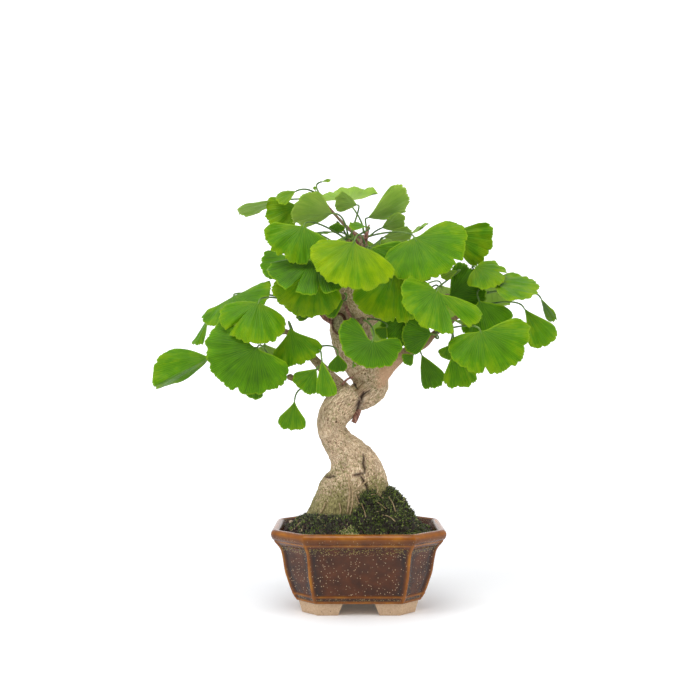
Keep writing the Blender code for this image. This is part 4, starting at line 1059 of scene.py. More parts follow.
# Air roots: thin dry roots that run down the front of the flare into the moss.
# Each is a list of places across and up, in front of the bark.
AIR_ROOTS = (
    (((6.5, 94.5), (1.5, 90.0), (-4.7, 85.5)), 0.55), (((-7.2, 96.0), (-6.6, 84.0), (-8.0, 71.0)), 0.75),
    (((-5.0, 90.0), (-4.2, 80.0), (-6.2, 69.5)), 0.6), (((-2.5, 85.0), (-0.8, 80.0), (1.5, 76.0)), 0.6),
    (((10.0, 80.5), (7.0, 82.0), (3.0, 81.5)), 0.45), (((-14.0, 78.0), (-13.0, 72.0), (-15.0, 67.0)), 0.5),
    (((-24.0, 78.0), (-26.0, 73.0), (-29.0, 69.0)), 0.5), (((12.0, 92.0), (14.0, 88.0), (13.0, 84.0)), 0.4),
)
air_roots = []
for places, radius in AIR_ROOTS:
    stops = smooth_route([(x, 0.0, z) for x, z in places], 2.0)
    air_roots.append(tube([(front_of(bark_points, x, z) - (0.0, 0.35, 0.0), radius) for x, _, z in stops], 8, 1.2))
body("air_roots", *gathered(air_roots), [straw], slot="ginkgo_bark")

# Leaves: each is a round stalk that flattens into a thin fan with no midrib. Its veins
# fork again and again from the base, and the margin is wavy and paler than the blade.
NECK_OPENING = 0.10
CORNER_ROUND = 0.12
NARROWEST_CURL = 0.35
FIT_GAP = 0.35
LEAVES = {}


def leaf(name, spur, base, aim, length, spread, **shape):
    """Note one leaf: where its blade starts, where it points and how it is bent.

    base is where the petiole meets the blade, length the blade's midline and spread
    half the fan's angle. aim turns the midline in the plane that faces the viewer,
    from right (0) over up (90). lean tips the midline towards the viewer and roll
    turns the blade about it. facing is the side of the tree that the blade is seen
    from, 0 for the front and 180 for the back. Angles are in degrees.

    Shape of the fan: flare is the part of the length over which it opens, skew makes
    one side longer, and taper shortens both sides against the midline. fold bends
    the blade down along the midline, cup curls it across and droop curls it down.
    Shape of the petiole: bend is its straight part before the blade, arch lifts its
    middle and via moves its middle sideways, to the back and up.
    """
    LEAVES[name] = dict(spur=spur, base=base, aim=aim, length=length, spread=spread, **shape)


leaf("leaf_far_left", "low_left", (-108, -15, 184), -153, 48, 46, lean=5, roll=-32, fold=42, taper=0.45)
leaf("leaf_left_curled", "left_outer", (-113, 14, 217), -122, 27, 40, roll=68, cup=30)
leaf("leaf_left_upper", "left_upper", (-94, 2, 231), -62, 34, 84, lean=58, droop=28)
leaf("leaf_left_two_lobed", "left_upper", (-71, -36, 223), -105, 36, 80, lean=40, droop=25, fold=10,
     taper=0.3, arch=-1)
leaf("leaf_left_big", "low_left", (-71, -45, 190), -125, 36, 98, lean=12, droop=20, cup=15, skew=-0.12,
     via=(-14, 4, 0))
leaf("leaf_left_hanging", "low_left_inner", (-46, -26, 153), -97, 23, 36, roll=5, flare=1.0,
     via=(0, -4, -2))
leaf("leaf_left_round", "low_left_inner", (-30, -32, 175), -128, 20, 42, lean=5, flare=0.15)
leaf("leaf_left_oval", "left_inner", (-26, -45, 181), -82, 27, 24, roll=25, flare=0.1, via=(8, 0, 0))
leaf("leaf_left_wedge", "left_spur", (-50, -26, 206), -74, 31, 48, lean=6, flare=0.9)
leaf("leaf_centre_left_low", "inner_left", (-31, -20, 246), -104, 35, 64, lean=15, droop=15, skew=-0.1,
     via=(-2, -2, 0))
leaf("leaf_three_lobed", "upper_left", (-31, -27, 254), -93, 37, 88, lean=50, droop=20, skew=-0.08, arch=7)
leaf("leaf_left_behind", "upper_left", (-48, -2, 258), -168, 27, 40, roll=30)
leaf("leaf_yellow_left", "leader_left", (-39, -35, 278), -108, 31, 74, lean=25, droop=30)
leaf("leaf_top_left_round", "top_shoot", (-44, 1, 299), -152, 27, 48, lean=5, arch=0)
leaf("leaf_top_left_small", "top_shoot", (-46, -9, 308), -155, 17, 45, roll=45)
leaf("leaf_top_far_left", "top_shoot", (-60, 4, 303), -165, 33, 40, roll=96, via=(0, 11, 1))
leaf("leaf_top_lifted", "leader_left", (-18, -14, 290), -177, 32, 60, lean=10, roll=117, fold=-14)
leaf("leaf_top_young", "top_shoot", (-28, 1, 317), 15, 8, 40, roll=-60)
leaf("leaf_top_back", "leader", (-7, 6, 303), 95, 30, 70, lean=-60, roll=180, via=(6, 0, 2))
leaf("leaf_top_low_lobe", "leader_left", (0, -10, 297), 165, 19, 45, roll=125, bend=2)
leaf("leaf_top_rolled", "leader", (6, 0, 289), 24, 38, 42, lean=-10, roll=-116, cup=-50, bend=2,
     via=(5, -3, 0))
leaf("leaf_leader_small", "leader_left", (6, -20, 279), 172, 14, 50, roll=60)
leaf("leaf_centre_bright", "leader_front", (-3, -44, 265), -106, 38, 76, lean=26, droop=22, cup=10, skew=0.08, arch=8)
leaf("leaf_centre_behind", "crown_right", (8, -20, 264), -28, 27, 42, lean=4)
leaf("leaf_right_bright", "leader", (40, -26, 271), -63, 39, 92, lean=30, droop=20, skew=0.14, taper=0.2,
     via=(3, -3, 0))
leaf("leaf_right_top", "right_top", (68, 8, 279), -22, 36, 38, lean=10, roll=22)
leaf("leaf_right_notched", "upper_right", (86, -10, 251), -15, 26, 85, lean=25, roll=-50, droop=30, cup=20,
     via=(10, 0, 2))
leaf("leaf_far_right", "upper_right", (98, -12, 239), -9, 36, 66, lean=10, roll=-57, taper=0.2)
leaf("leaf_far_right_edge", "upper_right", (136, -4, 229), -62, 21, 30, roll=75)
leaf("leaf_far_right_low", "right_outer", (121, -15, 221), -56, 35, 27, flare=0.8)
leaf("leaf_right_big_low", "right_spur", (85, -45, 202), -74, 34, 94, lean=22, droop=18, skew=0.17,
     taper=0.1, arch=0, via=(-6, -10, 0))
leaf("leaf_right_behind_low", "upper_right", (88, -18, 226), -70, 30, 55, lean=5)
leaf("leaf_right_two_lobed", "upper_right_inner", (56, -38, 231), -118, 33, 100, lean=30, skew=0.28,
     via=(0, 0, 5))
leaf("leaf_right_dark", "upper_right_inner", (67, -6, 229), 28, 29, 54, lean=5, via=(4, -5, -6))
leaf("leaf_centre_low", "crown_right", (27, -17, 248), -104, 41, 55, lean=16, droop=12)
leaf("leaf_trunk_front", "front_low", (10, -38, 195), -112, 22, 122, lean=18, droop=14, skew=-0.1, taper=-0.2)
leaf("leaf_centre_right_low", "upper_right_inner", (37, -14, 214), -118, 24, 55, lean=3)
leaf("leaf_right_folded", "right_spur", (54, -22, 200), 175, 23, 60, fold=6, arch=0,
     via=(0, 0, -6))
leaf("leaf_right_hanging_inner", "right_spur", (47, -1, 187), -66, 29, 30, roll=30, via=(3, 9, 1))
leaf("leaf_right_hanging", "right_mid", (70, -22, 191), -80, 31, 31)
leaf("leaf_top_right_small", "leader", (17, 4, 282), 25, 21, 50, roll=-115, via=(4, 4, -3))
leaf("leaf_back_left", "back_left", (-44, 62, 255), -95, 32, 60, facing=205, lean=20, droop=20)
leaf("leaf_back_centre_left", "back_left", (-24, 84, 262), -95, 33, 60, facing=190, lean=20, droop=20)
leaf("leaf_back_centre_right", "back_right", (38, 78, 262), -80, 34, 62, facing=170, lean=20, droop=20)
leaf("leaf_back_right", "back_right", (68, 58, 246), -95, 33, 62, facing=150, lean=20, droop=20)
leaf("leaf_back_far_right", "upper_right", (103, 30, 250), -85, 31, 60, facing=140, lean=20, droop=20)
leaf("leaf_back_top", "back_top", (-4, 62, 290), -90, 33, 60, facing=185, lean=25, droop=25)
leaf("leaf_back_top_left", "back_top", (-40, 42, 284), -105, 30, 60, facing=215, lean=20, droop=20)
leaf("leaf_back_top_right", "back_top", (34, 46, 286), -75, 31, 60, facing=155, lean=20, droop=20)
leaf("leaf_back_low", "back_low", (6, 66, 214), -90, 26, 60, facing=180, lean=15, droop=15,
     via=(-6, 0, -4))
leaf("leaf_back_centre", "back_low", (6, 86, 230), -90, 30, 64, facing=180, lean=15, droop=15,
     via=(15, -4, 2))
leaf("leaf_back_far_left", "left_outer", (-92, 26, 216), -95, 22, 55, facing=220, lean=15)
leaf("leaf_back_right_low", "right_outer", (96, 26, 206), -85, 26, 58, facing=130, lean=15, droop=15)
leaf("leaf_back_left_low", "left_spur", (-72, 18, 196), -95, 28, 60, facing=200, lean=15, droop=15,
     via=(8, 8, 0))


def leaf_axes(shape):
    """Unit vectors across the blade, along its midline and out of its upper side."""
    facing = math.radians(shape.get("facing", 0))
    aim = math.radians(shape["aim"])
    lean = math.radians(shape.get("lean", 0))
    roll = math.radians(shape.get("roll", 0))
    towards = np.array((math.sin(facing), -math.cos(facing), 0.0))
    right = np.array((math.cos(facing), math.sin(facing), 0.0))
    up = np.array((0.0, 0.0, 1.0))
    along = (right * math.cos(aim) + up * math.sin(aim)) * math.cos(lean) + towards * math.sin(lean)
    flat = towards - along * np.dot(towards, along)
    flat /= np.linalg.norm(flat)
    normal = flat * math.cos(roll) + np.cross(along, flat) * math.sin(roll)
    return np.cross(normal, along), along, normal


def bend(distance, offset, angle, length):
    """Curl a strip: the point at distance along it, offset above it, after the bend."""
    if abs(angle) < 1e-3:
        return distance, offset
    turn = angle * distance / length
    radius = length / angle
    forward = (radius + offset) * np.sin(turn)
    return forward, (radius + offset) * np.cos(turn) - radius


def fan_angle(shape, u, v):
    """How far a place on the blade is turned from the midline: the fan opens as it runs out."""
    flare = shape.get("flare", 0.35)
    opening = (1 - np.exp(-3 * v / flare)) / (1 - math.exp(-3 / flare))
    return u * math.radians(shape["spread"]) * (NECK_OPENING + (1 - NECK_OPENING) * opening)


def blade_point(shape, u, v):
    """Points of the blade's middle surface: u across it from -1 to 1, v from base to margin."""
    across, along, normal = leaf_axes(shape)
    length = shape["length"]
    half = math.radians(shape["spread"])
    angle = fan_angle(shape, u, v)
    reach = v * length * (1 + shape.get("skew", 0) * u) * (1 - shape.get("taper", 0.05) * u * u)
    reach = reach * (1 - CORNER_ROUND * u**6)
    x = reach * np.sin(angle)
    y = reach * np.cos(angle)
    fold = math.radians(shape.get("fold", 0))
    z = -np.abs(x) * math.sin(fold)
    x = x * math.cos(fold)
    width = length * max(NARROWEST_CURL, math.sin(min(half, math.pi / 2)))
    x, z = bend(x, z, math.radians(shape.get("cup", 0)), width)
    y, z = bend(y, z, math.radians(shape.get("droop", 0)), length)
    return np.array(shape["base"], float) + np.outer(x, across) + np.outer(y, along) + np.outer(z, normal)


def blade_normal(shape, u, v):
    """The way out of the blade's upper side at each place."""
    step = 0.01
    side = blade_point(shape, u + step, v) - blade_point(shape, u - step, v)
    out = blade_point(shape, u, v + step) - blade_point(shape, u, v - step)
    normal = unit(np.cross(out, side))
    flip = np.sign(normal @ leaf_axes(shape)[2])
    return normal * flip[:, None]


def petiole_route(shape, steps):
    """The stalk: straight out of its spur, then a smooth curve into the blade's midline."""
    along = leaf_axes(shape)[1]
    spur = np.array(SPURS[shape["spur"]])
    end = np.array(shape["base"], float)
    before_end = end - along * shape.get("bend", 7.0)
    middle = (spur + before_end) / 2 + np.array((0.0, 0.0, shape.get("arch", 3.0)))
    middle = middle + np.array(shape.get("via", (0.0, 0.0, 0.0)))
    out = (middle - spur) / np.linalg.norm(middle - spur)
    start = spur + out * (SPUR_RADIUS + FIT_GAP)
    after_start = start + out * np.linalg.norm(before_end - start) * 0.45
    t = np.linspace(0, 1, steps + 1)[:, None]
    s = 1 - t
    return s**3 * start + 3 * s * s * t * after_start + 3 * s * t * t * before_end + t**3 * end


# Smaller leaves and young ones, in the same way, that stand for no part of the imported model
FULL_LEAVES = set(LEAVES)
leaf("small_under_left", "low_left", (-75, -20, 164), -95, 12, 45)
leaf("small_behind_oval", "left_inner", (-15, -20, 186), -90, 14, 42, via=(4, 0, 4))
leaf("small_crown_disc", "leader_left", (-16, -6, 285), -90, 9, 62, flare=0.2, bend=2)
leaf("small_behind_right", "right_mid", (67, -15, 193), -110, 12, 45)
leaf("small_right_inner", "right_spur", (41, -15, 186), -140, 11, 42)
leaf("small_right_dark", "right_spur", (34, -10, 196), -150, 10, 42)
leaf("small_trunk_right", "front_low", (21, -16, 206), -130, 11, 45, bend=3)
leaf("small_top_curled", "right_top", (39, 4, 277), 32, 18, 45, roll=105, bend=3)
leaf("small_top_edge", "crown_right", (18, -2, 274), 12, 23, 42, roll=-112, bend=3)
leaf("small_front_dark", "front_twig", (-10, -20, 225), -160, 18, 42, bend=2)
leaf("small_left_inner", "front_twig", (-29, -15, 218), -166, 18, 36, roll=60)
leaf("small_crown_band", "leader_left", (-14, -8, 277), 178, 18, 42, roll=78, bend=3)
leaf("small_yellow_gap", "upper_right_inner", (74, -12, 248), -160, 14, 38, roll=50)
leaf("small_yellow_edge", "right_spur", (68, -25, 210), -12, 17, 42, roll=78, bend=3)
leaf("small_crown_fill_left", "upper_left", (-24, -10, 262), -80, 24, 60, lean=10)
leaf("small_crown_fill_right", "crown_right", (40, -4, 262), -75, 24, 60, lean=5)
leaf("small_trunk_sprout", "front_low", (-4, -18, 176), 60, 4, 40, bend=1)
leaf("small_bud_top", "top_shoot", (-32, -3, 309), 110, 4.5, 26, cup=50, bend=2)
leaf("small_bud_left", "left_upper", (-34, -14, 221), 120, 4, 30, cup=50, bend=2)

# How yellow each leaf is, from 0, old and deep green, to 1, fresh yellow-green
TONES = {
    "small_under_left": 0.2, "small_behind_oval": 0.2, "small_crown_disc": 0.15, "small_top_curled": 0.2,
    "small_front_dark": 0.25, "small_yellow_gap": 0.8, "small_yellow_edge": 0.8, "small_right_dark": 0.2,
    "small_trunk_right": 0.2, "small_right_inner": 0.25,
    "leaf_far_left": 0.5, "leaf_left_curled": 0.42, "leaf_left_upper": 0.5, "leaf_left_two_lobed": 0.52,
    "leaf_left_big": 0.32, "leaf_left_hanging": 0.45, "leaf_left_round": 0.4, "leaf_left_oval": 0.42,
    "leaf_left_wedge": 0.5,
    "leaf_centre_left_low": 0.6, "leaf_three_lobed": 0.2, "leaf_left_behind": 0.3, "leaf_yellow_left": 0.48,
    "leaf_top_left_round": 0.62, "leaf_top_left_small": 0.62, "leaf_top_lifted": 0.6, "leaf_top_young": 0.75,
    "leaf_centre_bright": 0.74, "leaf_centre_behind": 0.4, "leaf_right_bright": 0.5, "leaf_right_top": 0.55,
    "leaf_right_notched": 0.6, "leaf_far_right": 0.55, "leaf_right_big_low": 0.5, "leaf_right_behind_low": 0.3,
    "leaf_right_two_lobed": 0.5, "leaf_right_dark": 0.15, "leaf_centre_low": 0.62, "leaf_trunk_front": 0.26,
    "leaf_centre_right_low": 0.3, "leaf_right_folded": 0.15, "leaf_right_hanging_inner": 0.25,
    "leaf_right_hanging": 0.45,
}
# Slits in the margin: where across the fan, how deep and how wide
SLITS = {
    "leaf_left_two_lobed": ((-0.34, 0.35, 0.05),), "leaf_three_lobed": ((-0.28, 0.35, 0.06), (0.1, 0.3, 0.05)),
    "leaf_right_two_lobed": ((0.52, 0.62, 0.1),), "leaf_yellow_left": ((-0.2, 0.12, 0.07), (0.35, 0.14, 0.06)),
    "leaf_centre_low": ((0.25, 0.12, 0.04),), "leaf_right_notched": ((0.2, 0.25, 0.05),),
    "leaf_left_big": ((0.1, 0.1, 0.04),), "leaf_right_big_low": ((-0.1, 0.12, 0.04),),
    "leaf_back_centre": ((0.0, 0.4, 0.06),), "leaf_back_left": ((0.1, 0.35, 0.05),),
    "leaf_back_top": ((-0.1, 0.3, 0.05),), "leaf_back_right": ((0.05, 0.3, 0.05),),
    "leaf_right_bright": ((0.3, 0.1, 0.03),),
}
USUAL_TONE = 0.45
BLADE_DRAWN_THICKNESS = 0.42
# The margin has rounded teeth about 3 mm apart, in lobes about 10 mm wide
TOOTH = 3.0
LOBE = 10.0
MOST_COLUMNS = 145
BLADE_ROWS = 18
COLUMN_WIDTH = 0.6
STALK_SIDES = 10
STALK_STEPS = 16
# How far the stalk runs on into the blade, in shares of its length
STALK_INSIDE = (0.04, 0.09, 0.15, 0.22)
# The stalk's half-width at some of its points, from the spur to its tip in the blade
STALK_HALF_WIDTHS = ((0, 1.5, 8, 16, 17, 20), (1.05, 0.72, 0.62, 0.6, 0.5, 0.12))


def leaf_mesh(shape, slits, seed):
    """One leaf's points, faces, finishes and marks: blade, margin and stalk."""
    rng = np.random.default_rng(seed)
    length = shape["length"]
    half = math.radians(shape["spread"])
    across_count = int(np.clip(length * 2 * half / COLUMN_WIDTH, 31, MOST_COLUMNS)) | 1
    columns = np.linspace(-1, 1, across_count)
    columns = np.sign(columns) * (1 - (1 - abs(columns)) ** 1.15)
    # Columns crowd at each slit, so that its sides come out clean
    for place, _, width in slits:
        pull = np.tanh((columns - place) / (width * 0.3)) * hump(columns, place, 3 * width)
        columns += width * 0.55 * pull * -0.6
    columns = np.sort(np.clip(columns, -1, 1))
    arc = length * 2 * half * columns / 2
    shift = rng.uniform(0, 50)
    line = np.column_stack((arc, np.full(across_count, shift), np.zeros(across_count)))
    teeth = abs(np.sin(math.pi * (arc / TOOTH + 1.6 * rough(line, 6.0)))) ** 0.7
    teeth = teeth * (0.75 + 0.9 * rough(line, 4.0, 3.0))
    lobes = abs(np.sin(math.pi * (arc / LOBE + 1.1 * rough(line, 15.0, 6.0) + shift))) ** 0.6
    waves = 1.15 * teeth + 1.7 * lobes + 2.0 * rough(line, 13.0, 9.0) - 1.9
    margin = 1 - (0.7 - waves * min(1.0, length / 30)) / length
    margin = margin * (1 - 0.15 * abs(columns) ** 14)
    for place, depth, width in slits:
        gap = abs(columns - place) / width
        margin -= depth * np.clip(1 - gap, 0, 1) ** 0.8
    rows = np.linspace(0, 1, BLADE_ROWS) ** 0.85
    rows[0] = 0.012
    u = np.tile(columns, BLADE_ROWS)
    t = np.repeat(rows, across_count)
    v = t * np.tile(margin, BLADE_ROWS)
    middle = blade_point(shape, u, v)
    normal = blade_normal(shape, u, np.clip(v, 0.03, 2))
    ripple_line = np.column_stack((u * half * 2.2 + shift, t * 0.9, np.zeros(len(u))))
    ripple = rough(ripple_line, 0.6) * 2.6 * t**1.5 + rough(ripple_line, 0.22, 4.0) * 0.7 * t**2 - 1.2 * t**3
    middle = middle + normal * (ripple * min(1.0, length / 30))[:, None]
    from_side = np.tile(1 - abs(columns), BLADE_ROWS) * half * np.maximum(v, 0.05) * length
    edge_way = np.minimum((1 - t) * length, from_side)
    thin = 0.35 + 0.65 * ease(edge_way, 0.0, 1.4)
    lift = normal * (BLADE_DRAWN_THICKNESS / 2 * thin)[:, None]
    count = len(u)
    points = [middle + lift, middle - lift]
    upper = grid_faces(BLADE_ROWS, across_count)
    lower = upper[:, ::-1] + count
    # Once round the blade: base, right side, margin, left side
    rim = np.concatenate((
        np.arange(across_count - 1), np.arange(BLADE_ROWS - 1) * across_count + across_count - 1,
        np.arange(count - 1, count - across_count, -1), np.arange(BLADE_ROWS - 1, 0, -1) * across_count,
    ))
    after = np.roll(rim, -1)
    border = np.stack((after, rim, rim + count, after + count), -1)
    on_midline = np.zeros(len(STALK_INSIDE)), np.array(STALK_INSIDE)
    inside = blade_point(shape, *on_midline) - blade_normal(shape, *on_midline) * 0.12
    stalk = np.vstack((petiole_route(shape, STALK_STEPS), inside))
    radii = np.interp(np.arange(len(stalk)), *STALK_HALF_WIDTHS)
    stalk_points, stalk_faces = tube(list(zip(stalk, radii)), STALK_SIDES, 1.6)
    faces = [*upper, *lower, *border, *([i + 2 * count for i in face] for face in stalk_faces)]
    finishes = [0] * len(upper) + [1] * len(lower) + [0] * len(border) + [2] * len(stalk_faces)
    fan = np.column_stack((fan_angle(shape, u, v), v * length, edge_way))
    none = np.zeros((len(stalk_points), 3))
    marks = {"fan": np.vstack((fan, fan, none))}
    return np.vstack((*points, stalk_points)), faces, finishes, marks


def leaf_finish(name, low, middle, high, base_tint, margin_tint, roughness, shine):
    """A leaf surface: colour by tone, forking veins, a pale margin and a satin skin."""
    finish, tree = new_material(name)
    fan = node(tree, "Attribute", {"attribute_name": "fan"}).outputs["Vector"]
    tone = node(tree, "Attribute", {"attribute_name": "tone"}).outputs["Fac"]
    parts = node(tree, "SeparateXYZ", {}, {"Vector": fan})
    angle, reach, edge = parts.outputs
    # Veins: their number doubles each time that the fan is twice as wide, so they stay
    # about 1.3 mm apart, drawn coarser than the real 0.6 mm so that they show
    level = node(tree, "Math", {"operation": "LOGARITHM", 1: 2.0}, {0: reach})
    whole = node(tree, "Math", {"operation": "FLOOR"}, {0: level})
    part = node(tree, "Math", {"operation": "FRACT"}, {0: level})
    number = node(tree, "Math", {"operation": "POWER", 0: 2.0}, {1: whole})
    turn = node(tree, "Math", {"operation": "MULTIPLY"}, {0: angle, 1: number})
    turn = node(tree, "Math", {"operation": "MULTIPLY", 1: 4.8}, {0: turn})
    twice = node(tree, "Math", {"operation": "MULTIPLY", 1: 2.0}, {0: turn})
    coarse = node(tree, "Math", {"operation": "COSINE"}, {0: turn})
    close = node(tree, "Math", {"operation": "COSINE"}, {0: twice})
    vein = node(tree, "Mix", {}, {"Factor": part, "A": coarse, "B": close})
    vein = node(tree, "MapRange", {"From Min": -1.0, "From Max": 1.0}, {"Value": vein})
    # Soft streaks between the main veins, 3 to 6 mm wide at the margin
    ray = node(tree, "Math", {"operation": "MULTIPLY", 1: 8.0}, {0: angle})
    slow = node(tree, "Math", {"operation": "MULTIPLY", 1: 0.05}, {0: reach})
    ray_place = node(tree, "CombineXYZ", {}, {"X": ray, "Y": slow, "Z": tone})
    rays = node(tree, "TexNoise", {"Scale": 1.0, "Detail": 3.0, "Roughness": 0.65}, {"Vector": ray_place})
    millimetres = in_millimetres(tree)
    cloud = node(tree, "TexNoise", {"Scale": 1 / 11, "Detail": 3.0}, {"Vector": millimetres})
    shifted = node(
        tree, "MapRange", {"From Min": 0.3, "From Max": 0.7, "To Min": -0.13, "To Max": 0.13},
        {"Value": cloud},
    )
    mixed = node(tree, "Math", {"operation": "ADD"}, {0: tone, 1: shifted})
    streaked = node(
        tree, "MapRange", {"From Min": 0.3, "From Max": 0.7, "To Min": -0.15, "To Max": 0.15},
        {"Value": rays},
    )
    mixed = node(tree, "Math", {"operation": "ADD", "use_clamp": True}, {0: mixed, 1: streaked})
    outer = node(tree, "MapRange", {"From Max": 12.0, "To Min": 0.16, "To Max": -0.06}, {"Value": edge})
    mixed = node(tree, "Math", {"operation": "ADD", "use_clamp": True}, {0: mixed, 1: outer})
    green = node(tree, "ValToRGB", {"stops": [(0.0, low), (0.5, middle), (1.0, high)]}, {"Fac": mixed})
    near_base = node(
        tree, "MapRange", {"From Min": 1.0, "From Max": 26.0, "To Min": 0.7, "To Max": 0.0},
        {"Value": reach},
    )
    green = node(tree, "MixRGB", {"Color2": base_tint}, {"Fac": near_base, "Color1": green})
    streak = node(tree, "MapRange", {"To Max": 0.2}, {"Value": vein})
    green = node(tree, "MixRGB", {"Color2": margin_tint}, {"Fac": streak, "Color1": green})
    rim = node(tree, "MapRange", {"From Min": 0.1, "From Max": 1.3, "To Min": 0.75, "To Max": 0.0}, {"Value": edge})
    green = node(tree, "MixRGB", {"Color2": margin_tint}, {"Fac": rim, "Color1": green})
    fine = node(tree, "TexNoise", {"Scale": 1 / 0.7, "Detail": 2.0}, {"Vector": millimetres})
    relief = node(tree, "Bump", {"Strength": 0.5, "Distance": 0.0003}, {"Height": vein})
    relief = node(tree, "Bump", {"Strength": 0.4, "Distance": 0.001}, {"Height": rays, "Normal": relief})
    relief = node(tree, "Bump", {"Strength": 0.2, "Distance": 0.0002}, {"Height": fine, "Normal": relief})
    skin = node(
        tree, "BsdfPrincipled",
        {"Roughness": roughness, "IOR": 1.42, "Specular IOR Level": shine,
         "Subsurface Weight": 0.1, "Subsurface Scale": 0.001, "Subsurface Radius": (0.5, 1.0, 0.15)},
        {"Base Color": green, "Normal": relief},
    )
    node(tree, "OutputMaterial", {}, {"Surface": skin})
    return finish


# The waxy upper side is saturated green and satin; the underside is paler, greyer
# and matt; the stalk is smooth and grey-green.
upper_side = leaf_finish("ginkgo_leaf_upper_side", "#1C4C03", "#477D00", "#8AA400", "#3B671A", "#84A616", 0.42, 0.14)
under_side = leaf_finish("ginkgo_leaf_underside", "#5A8428", "#7BA236", "#98B444", "#86A254", "#A2BA48", 0.6, 0.2)
stalk_finish, tree = new_material("ginkgo_leaf_stalk")
place = node(tree, "TexCoord").outputs["Object"]
grain = node(tree, "TexNoise", {"Scale": 160.0, "Detail": 2.0}, {"Vector": place})
stalk_tint = node(tree, "ValToRGB", {"stops": [(0.35, "#3F5E22"), (0.65, "#67853A")]}, {"Fac": grain})
smooth_skin = node(tree, "BsdfPrincipled", {"Roughness": 0.5, "IOR": 1.42}, {"Base Color": stalk_tint})
node(tree, "OutputMaterial", {}, {"Surface": smooth_skin})

BOX_MARGIN = 0.2
LEAF_LOW = (np.array(cad_low) - pot_middle) / MM + BOX_MARGIN
LEAF_HIGH = (np.array(cad_high) - pot_middle) / MM - BOX_MARGIN
for number, (name, shape) in enumerate(LEAVES.items()):
    points, faces, finishes, marks = leaf_mesh(shape, SLITS.get(name, ()), number)
    marks["tone"] = np.full(len(points), TONES.get(name, USUAL_TONE))
    points = np.clip(points, LEAF_LOW, LEAF_HIGH)
    stands_for = name if name in FULL_LEAVES else None
    piece = "blade_and_stalk_" + name[5:] if stands_for else name + "_leaf"
    body(piece, points, faces, [upper_side, under_side, stalk_finish], finishes, stands_for, "ginkgo_leaf", marks)

# Studio: a plain white sweep that rises behind the tree, a wide soft light overhead
# and in front, and a fainter one from the left, in a white room.
SWEEP_PROFILE = (
    (-2600.0, 0.0, 0.0), (0.0, 0.0, 0.0), (1500.0, 0.0, 0.0),
    (2300.0, 0.0, 130.0), (2800.0, 0.0, 700.0), (2900.0, 0.0, 2600.0),
)
SWEEP_HALF_WIDTH = 3500
SWEEP_COLUMNS = 30
sweep_line = smooth_route(SWEEP_PROFILE, 60.0)
sweep_across = np.linspace(-SWEEP_HALF_WIDTH, SWEEP_HALF_WIDTH, SWEEP_COLUMNS)
sweep_points = np.vstack([[(x, y, z) for x in sweep_across] for y, _, z in sweep_line])
sweep_mesh = bpy.data.meshes.new("studio_sweep")
sweep_faces = grid_faces(len(sweep_line), SWEEP_COLUMNS)
sweep_mesh.from_pydata((sweep_points * MM + pot_middle).tolist(), [], sweep_faces.tolist())
sweep_mesh.polygons.foreach_set("use_smooth", np.ones(len(sweep_mesh.polygons), bool))
# Matt paper, evenly white, with no shine that would show where it bends, and a painted glow of its own.
paper, tree = new_material("matt_white_paper_with_painted_glow")
depth = node(tree, "SeparateXYZ", {}, {"Vector": node(tree, "TexCoord").outputs["Object"]}).outputs[1]
# Painted light: the paper glows as if lamps of its own lit the wall behind, a little more the further back it is
painted_backdrop_glow = node(
    tree, "MapRange", {"From Min": 0.1, "From Max": 1.2, "To Min": 0.03, "To Max": 0.6},
    {"Value": depth},
)
flat_white = node(
    tree, "BsdfPrincipled",
    {"Base Color": "#F4F5F7", "Roughness": 0.9, "Specular IOR Level": 0.1, "Emission Color": "#FFFFFF"},
    {"Emission Strength": painted_backdrop_glow},
)
node(tree, "OutputMaterial", {}, {"Surface": flat_white})
sweep_mesh.materials.append(paper)
added("studio_sweep", sweep_mesh)

room = bpy.data.worlds.new("white_room")
room.use_nodes = True
sky = room.node_tree
sky.nodes.clear()
towards = node(sky, "SeparateXYZ", {}, {"Vector": node(sky, "TexCoord").outputs["Generated"]})
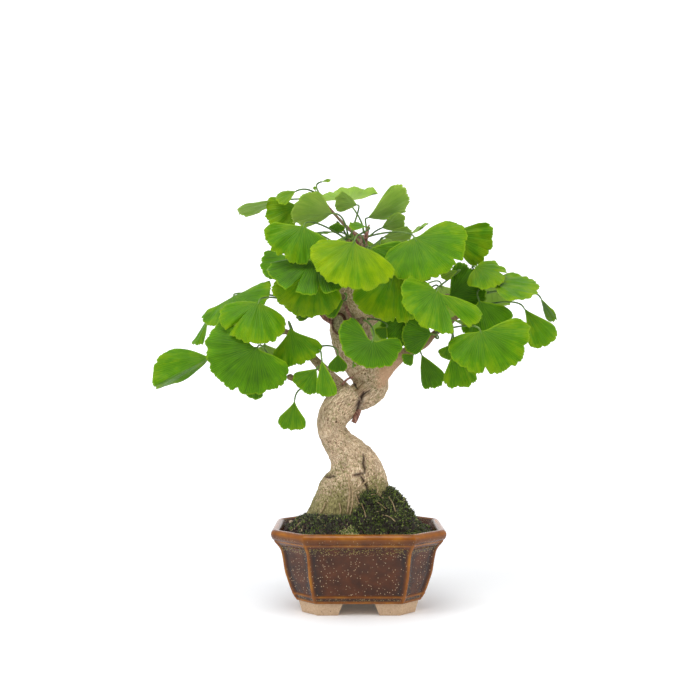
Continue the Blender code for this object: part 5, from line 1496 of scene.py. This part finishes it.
# The side of the room where the viewer stands is dim
front_part = node(sky, "MapRange", {"From Min": -0.9, "From Max": 0.3}, {"Value": towards.outputs[1]})
above_part = node(sky, "MapRange", {"From Min": 0.1, "From Max": 0.8}, {"Value": towards.outputs[2]})
lit_part = node(sky, "Math", {"operation": "MAXIMUM"}, {0: front_part, 1: above_part})
sky_tint = node(sky, "ValToRGB", {"stops": [(0.0, "#6C6E72"), (1.0, "#FBFBFD")]}, {"Fac": lit_part})
# The walls themselves look white from every side, whatever they shed
seen = node(sky, "LightPath").outputs["Is Camera Ray"]
sky_tint = node(sky, "MixRGB", {"Color2": "#FFFFFF"}, {"Fac": seen, "Color1": sky_tint})
glow = node(sky, "Background", {"Strength": 0.95}, {"Color": sky_tint})
node(sky, "OutputWorld", {}, {"Surface": glow})
bpy.context.scene.world = room
LIT_POINT = (0.0, 0.0, 160.0)
# Place, width, power and tint of each soft light
LIGHTS = (
    ("overhead_softbox", (-150.0, -450.0, 900.0), 700.0, 5.0, "#FFFEFA"),
    ("left_softbox", (-800.0, -500.0, 420.0), 500.0, 2.2, "#F6F9FF"),
    ("right_softbox", (850.0, -350.0, 380.0), 500.0, 2.2, "#FFFAF2"),
)
for name, place, width, watts, tint in LIGHTS:
    lamp = bpy.data.lights.new(name, "AREA")
    lamp.shape = "SQUARE"
    lamp.size = width * MM
    lamp.energy = watts
    lamp.color = linear(tint)[:3]
    item = added(name, lamp)
    item.location = Vector(np.array(place) * MM + pot_middle)
    target = Vector(np.array(LIT_POINT) * MM + pot_middle)
    item.rotation_euler = (target - item.location).to_track_quat("-Z", "Y").to_euler()

CAMERA_PLACE = (-6.2, -690.0, 161.0)
SENSOR_WIDTH = 36.0
PHOTO_PIXELS = 700
FOCAL_PIXELS = 920
HORIZON_DROP = 38
view_camera = bpy.data.cameras.new("front_view")
view_camera.sensor_width = SENSOR_WIDTH
view_camera.lens = SENSOR_WIDTH * FOCAL_PIXELS / PHOTO_PIXELS
camera = added("front_view", view_camera)
camera.location = Vector(np.array(CAMERA_PLACE) * MM + pot_middle)
camera.rotation_euler = (math.radians(90) + math.atan(HORIZON_DROP / FOCAL_PIXELS), 0.0, 0.0)
bpy.context.scene.camera = camera
bpy.context.scene.view_settings.view_transform = "Standard"
bpy.context.scene.view_settings.look = "None"
